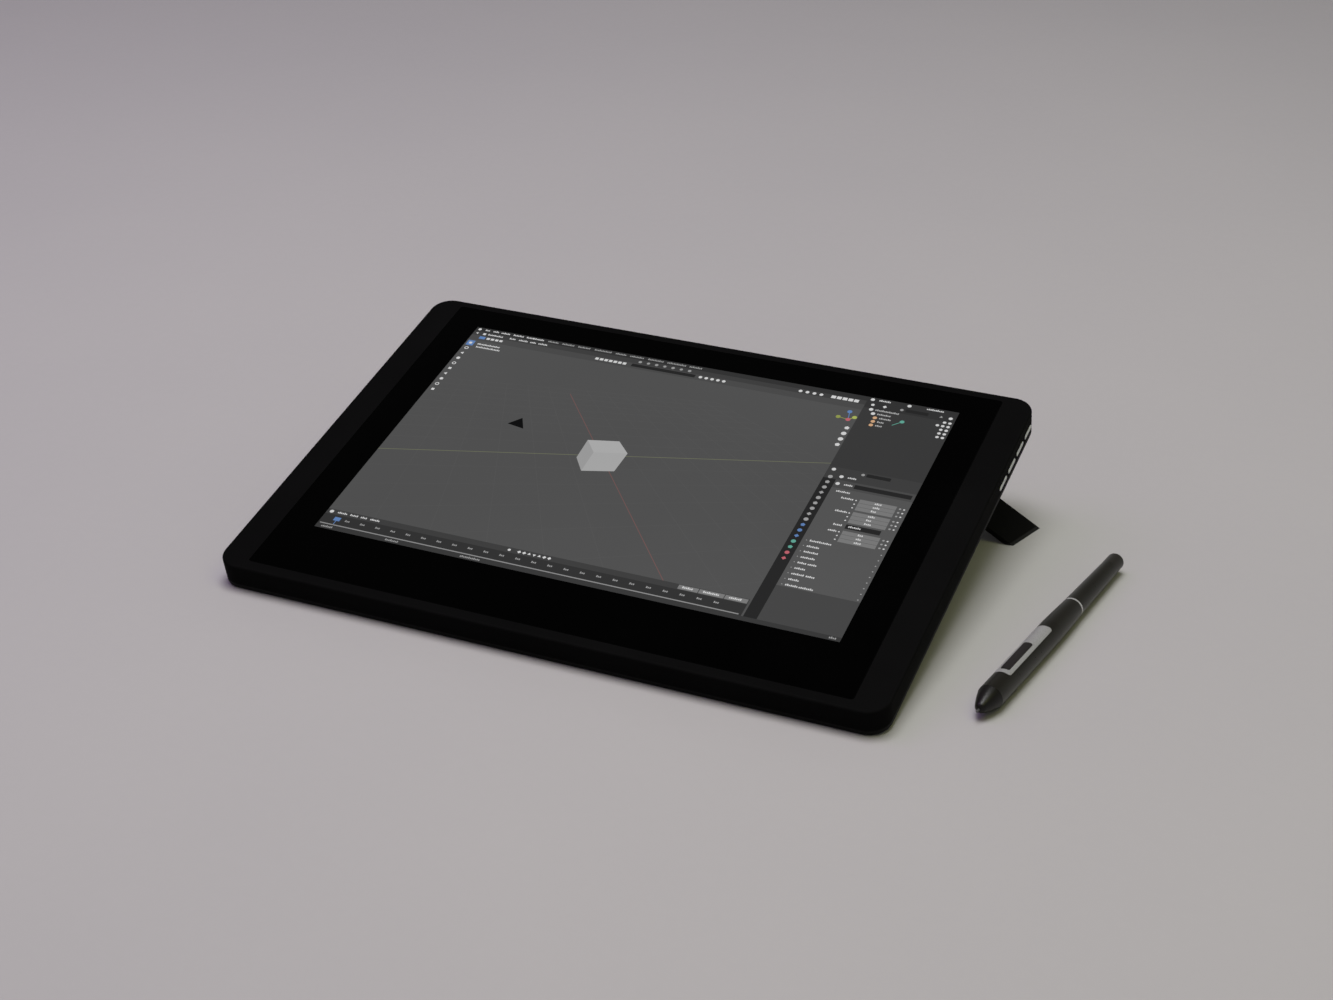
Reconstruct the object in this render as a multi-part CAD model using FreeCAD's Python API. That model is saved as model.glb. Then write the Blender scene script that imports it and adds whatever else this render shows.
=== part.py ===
import FreeCAD, Part
import math
import os

V = FreeCAD.Vector

# A pen display: a thin housing with a flush glass, tilted by two fold-out legs, and its pen beside it.
# Millimetres. The tablet is modelled lying flat, with x = 0 on its middle line, y = 0 at its front wall
# and z = 0 on its back plane, and is then tilted onto its feet. The pen is modelled along +Y from its tip.

# Housing
body_width = 332.5
body_depth = 230.8
body_thickness = 13.6
corner_radius = 10.5
top_round = 1.2
back_round = 0.6
tight_corner = 0.2
frame_wall = 2.0
frame_top = 2.6
cover_wall = 1.8
parting_height = 2.5
lip_height = 1.8
lip_wall = 1.2
fit_gap = 0.15
tilt = 12.4

# Glass and display stack, from the top down
glass_side_margin = 15.75
glass_front_margin = 5.9
glass_rear_margin = 5.1
glass_thickness = 1.1
glass_corner = 1.5
glass_bevel = 0.15
glass_ledge = 3.5
tape_thickness = 0.2
screen_side_border = 17.5
screen_front_border = 31.9
screen_rear_border = 14.9
bond_thickness = 0.3
bond_border = 1.5
panel_thickness = 2.4
panel_side_border = 3.5
panel_front_border = 7.0
foam_thickness = 0.2
sensor_thickness = 0.6
sensor_border = 6.0
shield_thickness = 0.2
chassis_thickness = 0.8
chassis_edge_gap = 4.0
strip_end_gap = 16.5
strip_depth = 15.0
strip_thickness = 1.0
strip_gap = 1.8
foil_count = 4
foil_width = 26.0
foil_pitch = 44.0
foil_start = -45.0
foil_thickness = 0.15

# Screws, each with its own head and shank
cover_head = 3.8
cover_head_height = 0.9
cover_shank = 2.0
cover_screw_length = 5.0
small_head = 3.0
small_head_height = 0.7
small_shank = 1.6
small_screw_length = 3.4
board_head = 3.6
board_head_height = 1.2
board_screw_length = 2.4
thread_gap = 0.04
cross_width = 0.55
hole_gap = 0.2
post_wall = 1.7
side_post_inset = 9.2
end_post_inset = 12.0
middle_post_x = 55.0
middle_post_front = 25.0
middle_post_rear = 14.8
ledge_post_inset = 1.5
ledge_post_count = 4
ledge_post_front = 20.0
ledge_post_rear = 20.8

# Main board and its sockets
board_left_gap = 4.2
board_width = 140.0
board_depth = 53.0
board_rear_inset = 57.8
board_thickness = 1.0
board_standoff = 1.6
board_screw_inset = 4.0
can_width = 46.0
can_depth = 32.0
can_height = 2.2
can_corner = 1.0
can_skin = 0.2
socket_width = 8.9
socket_height = 3.2
socket_length = 7.3
socket_wall = 0.3
socket_tongue = 0.7
socket_setback = 0.8
socket_offsets = (16.0, 34.0)
port_gap = 0.2
ribbon_thickness = 0.2
ribbon_slot_gap = 0.7
panel_ribbon_width = 24.0
panel_ribbon_end_gap = 10.0
sensor_ribbon_width = 20.0
sensor_ribbon_inset = 20.0
key_ribbon_width = 5.0

# Four keys in the right wall
key_count = 4
key_length = 10.8
key_height = 1.9
key_pitch = 13.9
key_corner_gap = 0.1
key_level = 6.2
key_proud = 0.4
key_gap = 0.1
key_travel = 0.4
key_edge = 0.3
flange_thickness = 1.0
flange_border = 0.8
plunger_diameter = 1.6
plunger_gap = 0.1
switch_length = 3.6
switch_height = 3.2
switch_thickness = 0.9
key_board_thickness = 1.0
key_board_height = 6.4
key_board_overhang = 8.0
key_board_tail = 15.5

# Two legs that fold flat into the back
leg_axis_inset = 60.75
leg_rear_inset = 24.6
leg_width = 23.0
leg_thickness = 2.8
leg_splay = 34.7
leg_inset = 0.3
leg_gap = 0.35
leg_edge = 0.4
leg_sole = 1.2
sole_inset = 0.15
tub_wall = 1.2
pin_diameter = 1.5
pin_gap = 0.05
seat_gap = 0.02
pin_hold = 5.0
hinge_block_length = 10.0
notch_width = 14.0

# Rubber feet
foot_length = 200.0
foot_width = 7.0
foot_front = 4.0
foot_height = 1.6
foot_seat = 0.6
foot_bevel = 2.5
rear_foot_length = 24.0
rear_foot_side_inset = 31.25
rear_foot_rear_inset = 9.0

# Vents in the back cover
vent_count = 18
vent_pitch = 5.0
vent_width = 1.6
vent_length = 14.0
vent_rear_inset = 64.8

# Pen
pen_length = 157.0
pen_tip_gap = 31.3
pen_tip_y = 28.0
pen_turn = -8.4
pen_roll = -7.0
grip_radius = 5.95
grip_wall = 1.4
grip_end = 78.0
nose_length = 13.6
nose_opening = 1.0
nose_brow = 2.6
nose_brow_place = 3.7
nose_brow_bulge = 0.25
nose_bulge = 0.3
nose_throat = 2.4
nose_edge_drop = 0.1
spigot_length = 5.0
spigot_wall = 0.9
pen_fit = 0.04
ring_place = 102.5
ring_length = 1.1
ring_radius = 5.12
ring_proud = 0.06
tail_radius = 4.2
tail_wall = 1.2
taper_bulge = 0.1
cap_length = 10.0
cap_round = 1.8
nib_diameter = 1.0
nib_reach = 2.2
nib_length = 20.0
nib_flat = 0.2
nib_travel = 0.8
nib_gap = 0.1
holder_diameter = 4.4
holder_length = 6.0
holder_grip = 3.0
coil_diameter = 4.6
coil_place = 6.0
coil_length = 9.0
coil_bore_gap = 0.2
sensor_room = 1.0
pressure_length = 3.5
plate_place = 26.3
plate_length = 46.0
plate_width = 7.6
plate_depth = 0.8
plate_proud = 0.1
plate_corner = 1.4
rocker_place = 29.2
rocker_length = 25.5
rocker_width = 4.4
rocker_proud = 0.45
rocker_corner = 0.9
rocker_gap = 0.12
rocker_depth = 3.4
rocker_pin = 0.9
rocker_pin_length = 5.4
pen_board_width = 8.6
pen_board_thickness = 0.8
pen_switch_length = 4.0
pen_switch_width = 3.0
pen_switch_height = 2.0
pen_switch_spread = 9.0

# Worked out from the sizes above
half_width = body_width / 2
wall_inside = half_width - frame_wall
rim_level = body_thickness - frame_top
glass_bottom = body_thickness - glass_thickness
glass_width = body_width - 2 * glass_side_margin
glass_rear = body_depth - glass_rear_margin
screen_width = glass_width - 2 * screen_side_border
screen_front = glass_front_margin + screen_front_border
screen_rear = glass_rear - screen_rear_border
strip_half = screen_width / 2 + panel_side_border - strip_end_gap
panel_ribbon_x = panel_ribbon_end_gap + panel_ribbon_width / 2 - strip_half
panel_top = glass_bottom - bond_thickness
panel_bottom = panel_top - panel_thickness
panel_front = screen_front - panel_front_border
sensor_top = panel_bottom - foam_thickness
sensor_bottom = sensor_top - sensor_thickness
chassis_top = sensor_bottom - shield_thickness
chassis_bottom = chassis_top - chassis_thickness
board_bottom = cover_wall + board_standoff
board_top = board_bottom + board_thickness
board_left = board_left_gap - wall_inside
board_right = board_left + board_width
board_rear = body_depth - board_rear_inset
board_front = board_rear - board_depth
socket_places = [board_front + offset for offset in socket_offsets]
sensor_ribbon_x = board_right - sensor_ribbon_inset - sensor_ribbon_width / 2
sensor_ribbon_y = board_rear - 2 * board_screw_inset
ribbon_level = chassis_bottom - fit_gap - ribbon_thickness / 2
leg_axis_x = half_width - leg_axis_inset
leg_rear = body_depth - leg_rear_inset
leg_front = leg_rear - leg_width
leg_axis_z = leg_inset + leg_thickness / 2
leg_roof = leg_inset + leg_thickness + fit_gap * 2
switch_face = wall_inside - key_gap / 2 - flange_thickness - key_travel - plunger_gap
key_board_face = switch_face - switch_thickness
rear_foot_x = half_width - rear_foot_side_inset
foot_contact = foot_front + foot_bevel
vent_middle = body_depth - vent_rear_inset - vent_length / 2
lip_outer_inset = frame_wall + fit_gap
lip_inner_inset = lip_outer_inset + lip_wall
ledge_post_x = glass_width / 2 - ledge_post_inset
cover_post_diameter = cover_shank + 2 * post_wall
small_post_diameter = small_shank + 2 * post_wall
board_post_diameter = cover_shank + 2 * post_wall


def floor_below(y):
    """Depth of the floor under the back plane at a depth y, when the tablet stands on its legs."""
    return foot_height + (y - foot_contact) * math.tan(math.radians(tilt))


leg_length = (
    leg_axis_z + leg_thickness / 2 * math.cos(math.radians(leg_splay)) + floor_below(leg_rear)
) / math.sin(math.radians(leg_splay))

tilt_turn = FreeCAD.Rotation(V(1, 0, 0), tilt)
contact = tilt_turn.multVec(V(0, foot_contact, -foot_height))
tablet_place = FreeCAD.Placement(V(0, 0, -contact.z), tilt_turn)
pen_place = FreeCAD.Placement(
    V(half_width + pen_tip_gap, pen_tip_y, grip_radius),
    FreeCAD.Rotation(V(0, 0, 1), pen_turn).multiply(FreeCAD.Rotation(V(0, 1, 0), pen_roll)),
)


def box(x0, x1, y0, y1, z0, z1):
    return Part.makeBox(x1 - x0, y1 - y0, z1 - z0, V(x0, y0, z0))


def slab(x0, x1, y0, y1, z0, z1, radius):
    """A plate with its four upright corners rounded."""
    plate = box(x0, x1, y0, y1, z0, z1)
    upright = [e for e in plate.Edges if abs(e.BoundBox.ZLength - (z1 - z0)) < 1e-6]
    return plate.makeFillet(radius, upright)


def inset_slab(inset, z0, z1):
    """A plate inside the housing's outline by an even inset."""
    return slab(
        inset - half_width, half_width - inset, inset, body_depth - inset, z0, z1, corner_radius - inset
    )


def post(x, y, z0, z1, diameter):
    return Part.makeCylinder(diameter / 2, z1 - z0, V(x, y, z0))


def rod(centre, direction, length, diameter):
    return Part.makeCylinder(diameter / 2, length, centre, direction)


def slot_along(axis, centre, length, width, depth):
    """A round-ended bar, centred, that runs along Y and is cut through along the given axis."""
    straight = length - width
    if axis == "x":
        turn = V(1, 0, 0)
        size = V(depth, straight, width)
    else:
        turn = V(0, 0, 1)
        size = V(width, straight, depth)
    bar = Part.makeBox(size.x, size.y, size.z, centre - size * 0.5)
    for side in (-0.5, 0.5):
        base = centre + V(0, side * straight, 0) - turn * (depth / 2)
        bar = bar.fuse(Part.makeCylinder(width / 2, depth, base, turn))
    return bar.removeSplitter()


def mirrored(shape):
    return shape.mirror(V(0, 0, 0), V(1, 0, 0))


def side_screw_places():
    """Places of the cover screws that go into the frame's side posts."""
    rows = (end_post_inset, body_depth / 2, body_depth - end_post_inset)
    return [(side * (half_width - side_post_inset), y) for side in (-1, 1) for y in rows]


def middle_screw_places():
    """Places of the cover screws that go into the chassis."""
    rows = (middle_post_front, body_depth - middle_post_rear)
    return [(side * middle_post_x, y) for side in (-1, 1) for y in rows]


def ledge_screw_places():
    """Places of the screws that hold the chassis to the frame, evenly along both sides."""
    step = (body_depth - ledge_post_front - ledge_post_rear) / (ledge_post_count - 1)
    rows = [ledge_post_front + i * step for i in range(ledge_post_count)]
    return [(side * ledge_post_x, y) for side in (-1, 1) for y in rows]


def board_screw_places():
    xs = (board_left + board_screw_inset + 2 * board_head, board_right - board_screw_inset)
    ys = (board_front + board_screw_inset, board_rear - board_screw_inset)
    return [(x, y) for x in xs for y in ys]


def key_places():
    first = body_depth - corner_radius - key_corner_gap - key_length / 2
    return [first - i * key_pitch for i in range(key_count)]


def screw(x, y, z_head, head, head_height, shank, length, up):
    """A screw whose head's under side is at z_head and whose shank points up or down."""
    way = 1 if up else -1
    axis = V(0, 0, way)
    body = Part.makeCylinder(shank / 2, length, V(x, y, z_head), axis)
    cap = Part.makeCylinder(head / 2, head_height, V(x, y, z_head), axis * -1)
    return body.fuse(cap).cut(cross_recess(x, y, z_head - way * head_height, head / 4, head_height / 2))


def cross_recess(x, y, z, reach, depth):
    """A cross that a driver fits, sunk by the depth on either side of the level z."""
    half = cross_width / 2
    along = box(x - reach, x + reach, y - half, y + half, z - depth, z + depth)
    across = box(x - half, x + half, y - reach, y + reach, z - depth, z + depth)
    return along.fuse(across)


def glass_plate(gap, z0, z1):
    return slab(
        -glass_width / 2 - gap,
        glass_width / 2 + gap,
        glass_front_margin - gap,
        glass_rear + gap,
        z0,
        z1,
        max(glass_corner + gap, tight_corner),
    )


def front_frame():
    """The front shell: side walls, rim beside the glass, the ledge under it and the screw posts."""
    shell = inset_slab(0, parting_height, body_thickness)
    top_edges = [e for e in shell.Edges if e.BoundBox.ZMin > body_thickness - 1e-4]
    shell = shell.makeFillet(top_round, top_edges)
    shell = shell.cut(inset_slab(frame_wall, parting_height - 1, rim_level))
    shell = shell.cut(glass_plate(fit_gap, glass_bottom - tape_thickness, body_thickness + 1))
    shell = shell.cut(glass_plate(-glass_ledge, rim_level - 1, body_thickness))
    posts = [post(x, y, cover_wall, rim_level, cover_post_diameter) for x, y in side_screw_places()]
    posts += [post(x, y, chassis_top, rim_level, small_post_diameter) for x, y in ledge_screw_places()]
    shell = shell.fuse(posts)
    holes = [
        post(x, y, cover_wall - 1, cover_wall + cover_screw_length, cover_shank + thread_gap)
        for x, y in side_screw_places()
    ]
    holes += [
        post(x, y, chassis_top - 1, chassis_bottom + small_screw_length, small_shank + thread_gap)
        for x, y in ledge_screw_places()
    ]
    for y in key_places():
        centre = V(half_width - frame_wall / 2, y, key_level)
        length = key_length + 2 * key_gap
        height = key_height + 2 * key_gap
        holes.append(slot_along("x", centre, length, height, frame_wall + 2))
    for y in socket_places:
        centre = V(frame_wall / 2 - half_width, y, board_top + socket_height / 2)
        width = socket_width + 2 * port_gap
        height = socket_height + 2 * port_gap
        holes.append(slot_along("x", centre, width, height, frame_wall + 2))
    return shell.cut(holes)


def cover_glass():
    plate = glass_plate(0, glass_bottom, body_thickness)
    rim = [e for e in plate.Edges if e.BoundBox.ZMin > body_thickness - 1e-4]
    return plate.makeChamfer(glass_bevel, rim)


def glass_tape():
    ring = glass_plate(-fit_gap, glass_bottom - tape_thickness, glass_bottom)
    return ring.cut(glass_plate(-glass_ledge, glass_bottom - 1, glass_bottom + 1))


def screen_block(side, front, rear, z0, z1):
    return box(
        -screen_width / 2 - side, screen_width / 2 + side, screen_front - front, screen_rear + rear, z0, z1
    )


def optical_bond():
    return screen_block(bond_border, bond_border, bond_border, panel_top, glass_bottom)


def lcd_panel():
    return screen_block(
        panel_side_border, panel_front_border, panel_side_border, panel_bottom, panel_top
    )


def panel_foam():
    inset = panel_side_border / 2
    return screen_block(inset, inset, inset, sensor_top, panel_bottom)


def sensor_ribbon_slot():
    """The opening that the digitizer's ribbon takes through chassis and shield."""
    half = sensor_ribbon_width / 2 + ribbon_slot_gap
    return box(
        sensor_ribbon_x - half,
        sensor_ribbon_x + half,
        sensor_ribbon_y - ribbon_slot_gap,
        sensor_ribbon_y + ribbon_thickness + ribbon_slot_gap,
        chassis_bottom - 1,
        sensor_bottom,
    )


def digitizer_board():
    return screen_block(sensor_border, panel_side_border, sensor_border / 2, sensor_bottom, sensor_top)


def shield_plate():
    sheet = screen_block(sensor_border, panel_side_border, sensor_border / 2, chassis_top, sensor_bottom)
    return sheet.cut(sensor_ribbon_slot())


def chassis_plate():
    """The metal plate that carries the display stack and is screwed up against the frame's ledge."""
    side = ledge_post_x + small_post_diameter / 2
    plate = box(
        -side,
        side,
        frame_wall + chassis_edge_gap,
        body_depth - frame_wall - chassis_edge_gap,
        chassis_bottom,
        chassis_top,
    )
    posts = [post(x, y, cover_wall, chassis_bottom, cover_post_diameter) for x, y in middle_screw_places()]
    plate = plate.fuse(posts)
    cuts = [
        post(x, y, cover_wall - 1, cover_wall + cover_screw_length, cover_shank + thread_gap)
        for x, y in middle_screw_places()
    ]
    cuts += [
        post(x, y, chassis_bottom - 1, chassis_top + 1, small_shank + hole_gap)
        for x, y in ledge_screw_places()
    ]
    half = panel_ribbon_width / 2 + ribbon_slot_gap
    cuts.append(
        box(
            panel_ribbon_x - half,
            panel_ribbon_x + half,
            panel_front - strip_gap,
            panel_front + ribbon_slot_gap,
            chassis_bottom - 1,
            chassis_top + 1,
        )
    )
    cuts.append(sensor_ribbon_slot())
    return plate.cut(cuts)


def panel_strip():
    """The display's driver board, on the chassis in front of the panel."""
    rear = panel_front - strip_gap
    top = chassis_top + strip_thickness
    return box(-strip_half, strip_half, rear - strip_depth, rear, chassis_top, top)


def ribbon(points, axis, low, high, thickness):
    """A flat cable: a line of points (a, z), given a thickness and run from low to high across it."""
    strips = []
    for (a0, z0), (a1, z1) in zip(points, points[1:]):
        run = math.hypot(a1 - a0, z1 - z0)
        na = -(z1 - z0) / run * thickness / 2
        nz = (a1 - a0) / run * thickness / 2
        corners = [(a0 + na, z0 + nz), (a1 + na, z1 + nz), (a1 - na, z1 - nz), (a0 - na, z0 - nz)]
        if axis == "y":
            outline = [V(a, low, z) for a, z in corners]
            way = V(0, high - low, 0)
        else:
            outline = [V(low, a, z) for a, z in corners]
            way = V(high - low, 0, 0)
        strips.append(Part.Face(Part.makePolygon(outline + outline[:1])).extrude(way))
    for a, z in points[1:-1]:
        base = V(a, low, z) if axis == "y" else V(low, a, z)
        way = V(0, 1, 0) if axis == "y" else V(1, 0, 0)
        strips.append(Part.makeCylinder(thickness / 2, high - low, base, way))
    return strips[0].fuse(strips[1:]).removeSplitter()


def panel_foils():
    """Short foils from the panel's edge to its driver board."""
    level = panel_bottom + panel_thickness / 2
    landing = chassis_top + strip_thickness + foil_thickness / 2
    front = panel_front - strip_gap - strip_depth / 4
    points = [(panel_front, level), (panel_front - strip_gap, level)]
    points += [(front, landing), (front - strip_depth / 4, landing)]
    foils = []
    for i in range(foil_count):
        middle = foil_start + i * foil_pitch
        foils.append(
            ribbon(points, "x", middle - foil_width / 2, middle + foil_width / 2, foil_thickness)
        )
    return Part.makeCompound(foils)


def panel_ribbon():
    half = ribbon_thickness / 2
    rise = chassis_bottom - board_top
    up = panel_front - strip_gap + ribbon_slot_gap
    points = [(board_front + 2 * rise, board_top + half), (board_front + rise / 2, board_top + half)]
    points += [(board_front - rise, ribbon_level), (up, ribbon_level)]
    points += [(up, chassis_top + strip_thickness + half)]
    points += [(up - strip_depth / 3, chassis_top + strip_thickness + half)]
    low = panel_ribbon_x - panel_ribbon_width / 2
    return ribbon(points, "x", low, low + panel_ribbon_width, ribbon_thickness)


def sensor_ribbon():
    x = sensor_ribbon_x - sensor_ribbon_width / 2
    rear = sensor_ribbon_y + ribbon_thickness
    return box(x, x + sensor_ribbon_width, sensor_ribbon_y, rear, board_top, sensor_bottom)


def key_ribbon():
    half = ribbon_thickness / 2
    rise = chassis_bottom - board_top
    points = [(key_board_face - key_board_thickness, ribbon_level), (board_right + rise, ribbon_level)]
    points += [(board_right - rise / 2, board_top + half), (board_right - 2 * rise, board_top + half)]
    low = board_rear - 3 * key_ribbon_width
    return ribbon(points, "y", low, low + key_ribbon_width, ribbon_thickness)


def main_board():
    plate = box(board_left, board_right, board_front, board_rear, board_bottom, board_top)
    holes = [
        post(x, y, board_bottom - 1, board_top + 1, cover_shank + hole_gap) for x, y in board_screw_places()
    ]
    return plate.cut(holes)


def board_can():
    x = (board_left + board_right - can_width) / 2
    y = (board_front + board_rear - can_depth) / 2
    can = slab(x, x + can_width, y, y + can_depth, board_top, board_top + can_height, can_corner)
    inside = box(
        x + can_skin,
        x + can_width - can_skin,
        y + can_skin,
        y + can_depth - can_skin,
        board_top - 1,
        board_top + can_height - can_skin,
    )
    return can.cut(inside)


def usb_socket(y):
    """A flat round-ended shell with its contact tongue, open towards the left wall."""
    level = board_top + socket_height / 2
    front = socket_setback - half_width
    centre = V(front + socket_length / 2, y, level)
    shell = slot_along("x", centre, socket_width, socket_height, socket_length)
    hollow = slot_along(
        "x",
        centre - V(socket_wall * 4, 0, 0),
        socket_width - 2 * socket_wall,
        socket_height - 2 * socket_wall,
        socket_length,
    )
    tongue = box(
        front + socket_wall * 2,
        front + socket_length - socket_wall,
        y - socket_width / 4,
        y + socket_width / 4,
        level - socket_tongue / 2,
        level + socket_tongue / 2,
    )
    return shell.cut(hollow).fuse(tongue)


def side_key(y):
    """A key's cap in its wall slot, with the flange behind the wall that keeps it in."""
    inner = wall_inside - key_gap / 2
    outer = half_width + key_proud
    cap = slot_along("x", V((inner + outer) / 2, y, key_level), key_length, key_height, outer - inner)
    face = [e for e in cap.Edges if e.BoundBox.XMin > outer - 1e-4]
    cap = cap.makeFillet(key_edge, face)
    flange = box(
        inner - flange_thickness,
        inner,
        y - key_length / 2,
        y + key_length / 2,
        key_level - key_height / 2 - flange_border,
        key_level + key_height / 2 + flange_border,
    )
    return cap.fuse(flange)


def key_plunger(y):
    """The switch's button, which reaches through the switch to just short of the board when pressed."""
    start = wall_inside - key_gap / 2 - flange_thickness
    length = start - key_board_face - key_travel - plunger_gap / 2
    return rod(V(start - length, y, key_level), V(1, 0, 0), length, plunger_diameter)


def tact_switch(y):
    block = box(
        key_board_face,
        switch_face,
        y - switch_length / 2,
        y + switch_length / 2,
        key_level - switch_height / 2,
        key_level + switch_height / 2,
    )
    start = V(key_board_face - 1, y, key_level)
    bore = rod(start, V(1, 0, 0), switch_thickness + 2, plunger_diameter + 2 * plunger_gap)
    return block.cut(bore)


def key_board():
    ys = key_places()
    return box(
        key_board_face - key_board_thickness,
        key_board_face,
        ys[-1] - key_board_tail,
        ys[0] + key_board_overhang,
        cover_wall,
        cover_wall + key_board_height,
    )


def opened(shape):
    """Turns a leg's shape about the hinge and moves it to the hinge of the right leg."""
    shape.rotate(V(0, 0, 0), V(0, 1, 0), leg_splay)
    shape.translate(V(leg_axis_x, 0, leg_axis_z))
    return shape


def below_floor(height):
    """Everything lower than a height above the floor, in the tablet's own flat frame."""
    reach = body_width + body_depth
    block = box(-reach, reach, -reach, reach, -reach, height)
    block.Placement = tablet_place.inverse()
    return block


def leg():
    length = leg_length + leg_thickness
    bar = box(0, length, leg_front, leg_rear, -leg_thickness / 2, leg_thickness / 2)
    long_edges = [e for e in bar.Edges if abs(e.BoundBox.XLength - length) < 1e-4]
    bar = bar.makeFillet(leg_edge, long_edges)
    bar = bar.fuse(rod(V(0, leg_front, 0), V(0, 1, 0), leg_width, leg_thickness))
    bar = bar.cut(rod(V(0, leg_front - 1, 0), V(0, 1, 0), leg_width + 2, pin_diameter + 2 * pin_gap))
    return opened(bar).cut(below_floor(leg_sole))


def leg_sole_pad():
    """The rubber sole, cut level with the floor."""
    bar = box(
        0,
        leg_length + leg_thickness,
        leg_front + sole_inset,
        leg_rear - sole_inset,
        sole_inset - leg_thickness / 2,
        leg_thickness / 2 - sole_inset,
    )
    return opened(bar).common(below_floor(leg_sole)).cut(below_floor(0))


def leg_pin():
    return rod(
        V(leg_axis_x, leg_front - leg_gap - pin_hold, leg_axis_z),
        V(0, 1, 0),
        leg_width + 2 * (leg_gap + pin_hold),
        pin_diameter,
    )


def leg_tub():
    """The raised tray inside the cover round one folded leg, with a block at each end of the pin."""
    tray = box(
        leg_axis_x - leg_length - leg_gap - tub_wall,
        leg_axis_x + leg_stop_reach() + tub_wall,
        leg_front - leg_gap - tub_wall,
        leg_rear + leg_gap + tub_wall,
        0,
        leg_roof + tub_wall,
    )
    block = box(
        leg_axis_x - hinge_block_length / 2,
        leg_axis_x + hinge_block_length / 2,
        leg_front - leg_gap - pin_hold,
        leg_rear + leg_gap + pin_hold,
        0,
        leg_axis_z + pin_diameter / 2 + tub_wall,
    )
    return tray.fuse(block)


def leg_stop_reach():
    """How far beyond the hinge the stop face, along which the open leg lies, leaves the back plane."""
    splay = math.radians(leg_splay)
    return (leg_thickness / 2 + fit_gap) / math.sin(splay) + leg_axis_z / math.tan(splay)


def leg_pocket():
    """The space of the folded leg, its swing past the stop face, and the finger notch at its end."""
    splay = math.radians(leg_splay)
    inner = leg_axis_x - leg_length - leg_gap
    below = back_round
    at_roof = leg_stop_reach() - leg_roof / math.tan(splay)
    at_below = leg_stop_reach() + below / math.tan(splay)
    corners = [(inner, -below), (inner, leg_roof), (leg_axis_x + at_roof, leg_roof)]
    corners.append((leg_axis_x + at_below, -below))
    outline = [V(x, leg_front - leg_gap, z) for x, z in corners]
    pocket = Part.Face(Part.makePolygon(outline + outline[:1])).extrude(V(0, leg_width + 2 * leg_gap, 0))
    middle = leg_front + leg_width / 2
    notch = post(inner, middle, -below, leg_inset + leg_thickness, notch_width)
    return pocket.fuse(notch)


def notch_block():
    """The cover's thicker place above the finger notch."""
    middle = leg_front + leg_width / 2
    x1 = leg_axis_x - leg_length - leg_gap
    return box(
        x1 - notch_width / 2 - tub_wall,
        x1,
        middle - notch_width / 2 - tub_wall,
        middle + notch_width / 2 + tub_wall,
        0,
        leg_roof + tub_wall,
    )


def foot_strip(length, x, y, height):
    """A rubber strip seated in the cover and standing out below it."""
    strip = slot_along("z", V(0, 0, 0), length, foot_width, height + foot_seat)
    strip.rotate(V(0, 0, 0), V(0, 0, 1), 90)
    strip.translate(V(x, y, (foot_seat - height) / 2))
    return strip


def front_foot():
    """The long front foot, bevelled so that it stands level when the legs are open."""
    return foot_strip(foot_length, 0, foot_front + foot_width / 2, foot_height).cut(below_floor(0))


def rear_foot():
    return foot_strip(rear_foot_length, rear_foot_x, body_depth - rear_foot_rear_inset, foot_height)


def back_cover():
    """The back shell: rim, lip inside the frame, leg trays, board posts, vents and seats for the feet."""
    shell = inset_slab(0, 0, parting_height)
    back_edges = [e for e in shell.Edges if e.BoundBox.ZMax < 1e-4]
    shell = shell.makeFillet(back_round, back_edges)
    lip = inset_slab(lip_outer_inset, cover_wall / 2, parting_height + lip_height)
    shell = shell.fuse(lip)
    shell = shell.cut(inset_slab(lip_inner_inset, cover_wall, parting_height + lip_height + 1))
    adds = [leg_tub(), notch_block()]
    adds += [mirrored(shape) for shape in adds]
    adds += [
        post(x, y, cover_wall / 2, board_bottom, board_post_diameter) for x, y in board_screw_places()
    ]
    shell = shell.fuse(adds)
    stages = [
        [leg_pocket(), mirrored(leg_pocket())],
        [pin_bore(), mirrored(pin_bore())],
        lip_notches(),
        screw_head_seats(),
        screw_holes(),
        foot_seats(),
        vents(),
    ]
    for stage in stages:
        shell = shell.cut(stage)
    return shell


def screw_head_seats():
    places = side_screw_places() + middle_screw_places()
    return [post(x, y, -1, cover_head_height + hole_gap, cover_head + 2 * hole_gap) for x, y in places]


def screw_holes():
    places = side_screw_places() + middle_screw_places()
    holes = [post(x, y, 0, cover_wall + 1, cover_shank + hole_gap) for x, y in places]
    start = board_top - board_screw_length - hole_gap
    for x, y in board_screw_places():
        holes.append(post(x, y, start, board_bottom + 1, cover_shank + thread_gap))
    return holes


def foot_seats():
    seats = [foot_seat_cut(foot_length, 0, foot_front + foot_width / 2)]
    for side in (-1, 1):
        seats.append(foot_seat_cut(rear_foot_length, side * rear_foot_x, body_depth - rear_foot_rear_inset))
    return seats


def vents():
    slots = []
    for i in range(vent_count):
        x = (i - (vent_count - 1) / 2) * vent_pitch
        centre = V(x, vent_middle, cover_wall / 2)
        slots.append(slot_along("z", centre, vent_length, vent_width, cover_wall + 2))
    return slots


def foot_seat_cut(length, x, y):
    strip = slot_along("z", V(0, 0, 0), length + 2 * fit_gap, foot_width + 2 * fit_gap, 2 * foot_seat)
    strip.rotate(V(0, 0, 0), V(0, 0, 1), 90)
    strip.translate(V(x, y, 0))
    return strip


def pin_bore():
    return rod(
        V(leg_axis_x, leg_front - leg_gap - pin_hold - 1, leg_axis_z),
        V(0, 1, 0),
        leg_width + 2 * (leg_gap + pin_hold) + 2,
        pin_diameter + 2 * seat_gap,
    )


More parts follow.
